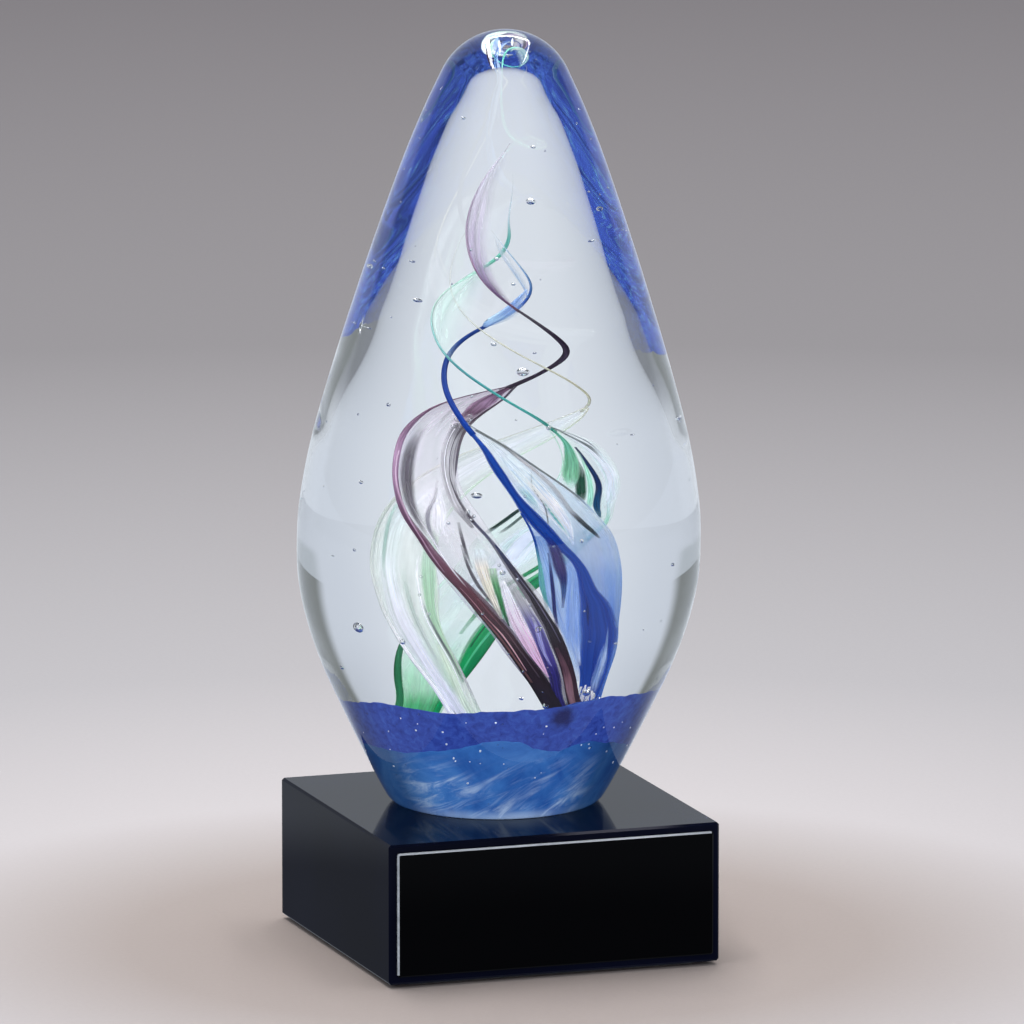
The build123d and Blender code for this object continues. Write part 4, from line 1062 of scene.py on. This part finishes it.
# The knot of drawn-out bubbles standing on the foot at the blue ribbon's root, likewise.
KNOT = [("blue", 30.1, 1.9, 0.40), ("blue", 30.8, 1.1, 0.46), ("blue", 31, 0.2, 0.46),
    ("blue", 30.7, -0.7, 0.46), ("blue", 30, -1.5, 0.38), ("purple", 29, 2.9, 0.55)]
CAUGHT_STAND, KNOT_STAND = 1.1, 1.9     # how far in front of the ribbon's body they sit
SPECK_COUNT, SPECK_SEED = 46, 11
GRAIN_COUNT, GRAIN_SEED = 64, 5
GRAIN_STAND = 0.30                      # how far outside the foot the grains sit
BUBBLE_SQUASH, BUBBLE_TILT = 0.12, 0.35


def bubble(form, centre, radius, stretch, turn):
    """Add one rounded bubble, slightly drawn out and flattened, to a bmesh."""
    made = bmesh.ops.create_icosphere(form, subdivisions=3, radius=radius * MM)["verts"]
    for vert in made:
        place = vert.co.copy()
        place.z *= stretch
        place.x *= 1.0 + BUBBLE_SQUASH * math.sin(turn)
        place.rotate(Euler((BUBBLE_TILT * math.sin(turn), BUBBLE_TILT * math.cos(turn), turn)))
        vert.co = centre + place


def make_bubbles():
    """The bubbles of the rows above, and scattered ones round the foot and in the egg."""
    chance = random.Random(SPECK_SEED)
    form = bmesh.new()
    for height, distance, degrees, radius in BUBBLES:
        turn = math.radians(degrees)
        bubble(form, upright(height, distance, turn), radius, chance.uniform(0.72, 0.95), turn)
    for colour, height, across, radius in CAUGHT:
        centre = on_ribbon(colour, height, across, 1.0) + FRONTWARD * ((radius + CAUGHT_STAND) * MM)
        bubble(form, centre, radius, chance.uniform(0.85, 1.3), chance.uniform(0, 6.3))
    for colour, height, across, radius in KNOT:
        centre = on_ribbon(colour, height, across, 1.0) + FRONTWARD * (KNOT_STAND * MM)
        bubble(form, centre, radius, 2.4 if colour == "blue" else 1.2, across)
    for i in range(SPECK_COUNT):
        height = chance.uniform(4.0, 26.0)
        turn = chance.uniform(-math.pi, math.pi)
        reach = at_height(FOOT_SIDE, 1, min(height, 25.2)) + chance.uniform(0.45, 0.9)
        radius = chance.choice((0.14, 0.18, 0.22, 0.30))
        bubble(form, around(height, reach, turn), radius, chance.uniform(0.9, 1.4), turn)
    for i in range(SPECK_COUNT):
        height = chance.uniform(30.0, 150.0)
        turn = chance.uniform(-math.pi, math.pi)
        reach = egg_radius(height) * chance.uniform(0.55, 0.86)
        radius = chance.choice((0.14, 0.18, 0.24))
        bubble(form, around(height, reach, turn), radius, chance.uniform(0.8, 1.5), turn)
    air = clear_glass("trapped_air", 1.0 / GLASS_IOR)
    add_object("seed_bubbles", mesh_of(form, "seed_bubbles"), air)


def make_grains():
    """White opal grains just outside the foot."""
    chance = random.Random(GRAIN_SEED)
    form = bmesh.new()
    for i in range(GRAIN_COUNT):
        height = chance.uniform(9.0, 25.0)
        turn = chance.uniform(-math.pi, math.pi)
        reach = at_height(FOOT_SIDE, 1, height) + GRAIN_STAND
        radius = chance.choice((0.10, 0.13, 0.16, 0.22))
        bubble(form, around(height, reach, turn), radius, chance.uniform(0.9, 1.5), turn)
    material, tree, coordinates = new_material("opal_white")
    cloud = noise_of(tree, coordinates["Object"], 3000.0, 2.0)
    shade = colour_ramp(tree, cloud, [(0.3, (0.62, 0.74, 0.92)), (0.6, (0.90, 0.93, 0.98))])
    # The grains give off their own colour as a painted glow.
    show(tree, {"Base Color": shade, "Roughness": 0.4, "Emission Color": shade,
                "Emission Strength": RIBBON_GLOW})
    add_object("opal_grains", mesh_of(form, "opal_grains"), material)


make_bubbles()
make_grains()

# ---------------------------------------------------------------- base


def smudge(tree, place, scale, low, high):
    """Roughness of a hand-polished face, with faint cloudy variation."""
    return even_range(tree, noise_of(tree, place, scale, 6.0, 0.7), 0.3, 0.7, low, high)


def black_crystal():
    material, tree, coordinates = new_material("black_crystal")
    place = coordinates["Object"]
    depth = noise_of(tree, place, 18.0, 3.0)
    shade = colour_ramp(tree, depth, [(0.3, (0.0016, 0.0020, 0.0060)), (0.7, (0.0034, 0.0042, 0.0130))])
    show(tree, {"Base Color": shade, "IOR": 1.11, "Specular Tint": (0.80, 0.80, 1.0, 1.0),
                "Roughness": smudge(tree, place, 60.0, 0.015, 0.06)})
    return material


def plate_black():
    """Gloss black with painted highlights: only the upper and left bevels, told apart by which way they face,
    are coloured as bright brushed metal.
    """
    material, tree, coordinates = new_material("plate_black")
    facing = vector_node(tree, "DOT_PRODUCT", coordinates["Normal"], (-0.64, 0, 0.77), "Value")
    # Painted highlight: bevels that face up and to the left get the bright metal colour, the others stay
    # black.
    face = smooth_range(tree, facing, 0.40, 0.30)
    brushed = node(tree, "Mapping", {"Vector": coordinates["Object"], "Scale": (40, 900, 900)}).outputs[0]
    hair = noise_of(tree, brushed, 1.0, 4.0)
    lit_bevel_metal = colour_ramp(tree, hair, [(0.3, (0.30, 0.31, 0.33)), (0.7, (0.48, 0.49, 0.52))])
    show(tree, {"Base Color": mixed_colour(tree, face, lit_bevel_metal, (0.0012, 0.0012, 0.0016)), "IOR": 1.12,
                "Roughness": smudge(tree, coordinates["Object"], 45.0, 0.03, 0.09)})
    return material


def felt_cloth():
    material, tree, coordinates = new_material("felt")
    fibres = noise_of(tree, coordinates["Object"], 2600.0, 5.0, 0.75)
    pile = noise_of(tree, coordinates["Object"], 260.0, 4.0)
    shade = colour_ramp(tree, times(tree, fibres, pile),
                        [(0.12, (0.006, 0.006, 0.007)), (0.40, (0.030, 0.030, 0.034))])
    bump = node(tree, "Bump", {"Height": fibres, "Strength": 0.6, "Distance": 0.0002})
    show(tree, {"Base Color": shade, "Roughness": 0.95, "Sheen Weight": 0.4, "Specular IOR Level": 0.1,
                "Normal": bump.outputs[0]})
    return material


def clear_adhesive(name, low, high, alpha, scale):
    """Cured adhesive or foam tape, cloudy with fine cells."""
    material, tree, coordinates = new_material(name)
    cells = noise_of(tree, coordinates["Object"], scale, 5.0, 0.7)
    shade = colour_ramp(tree, cells, [(0.3, low), (0.7, high)])
    bump = node(tree, "Bump", {"Height": cells, "Strength": 0.3, "Distance": 0.0001})
    show(tree, {"Base Color": shade, "Roughness": 0.35, "Alpha": alpha, "Normal": bump.outputs[0]})
    return material


def finish_node(name, material):
    NODES[name].data.materials.clear()
    NODES[name].data.materials.append(material)


finish_node("base_block", black_crystal())
finish_node("name_plate", plate_black())
finish_node("base_felt", felt_cloth())
finish_node("glass_bond", clear_adhesive("cured_adhesive", (0.30, 0.36, 0.50), (0.50, 0.58, 0.70),
                                         alpha=0.55, scale=300.0))
finish_node("plate_adhesive", clear_adhesive("tape_foam", (0.16, 0.16, 0.17), (0.30, 0.30, 0.31),
                                             alpha=1.0, scale=1500.0))
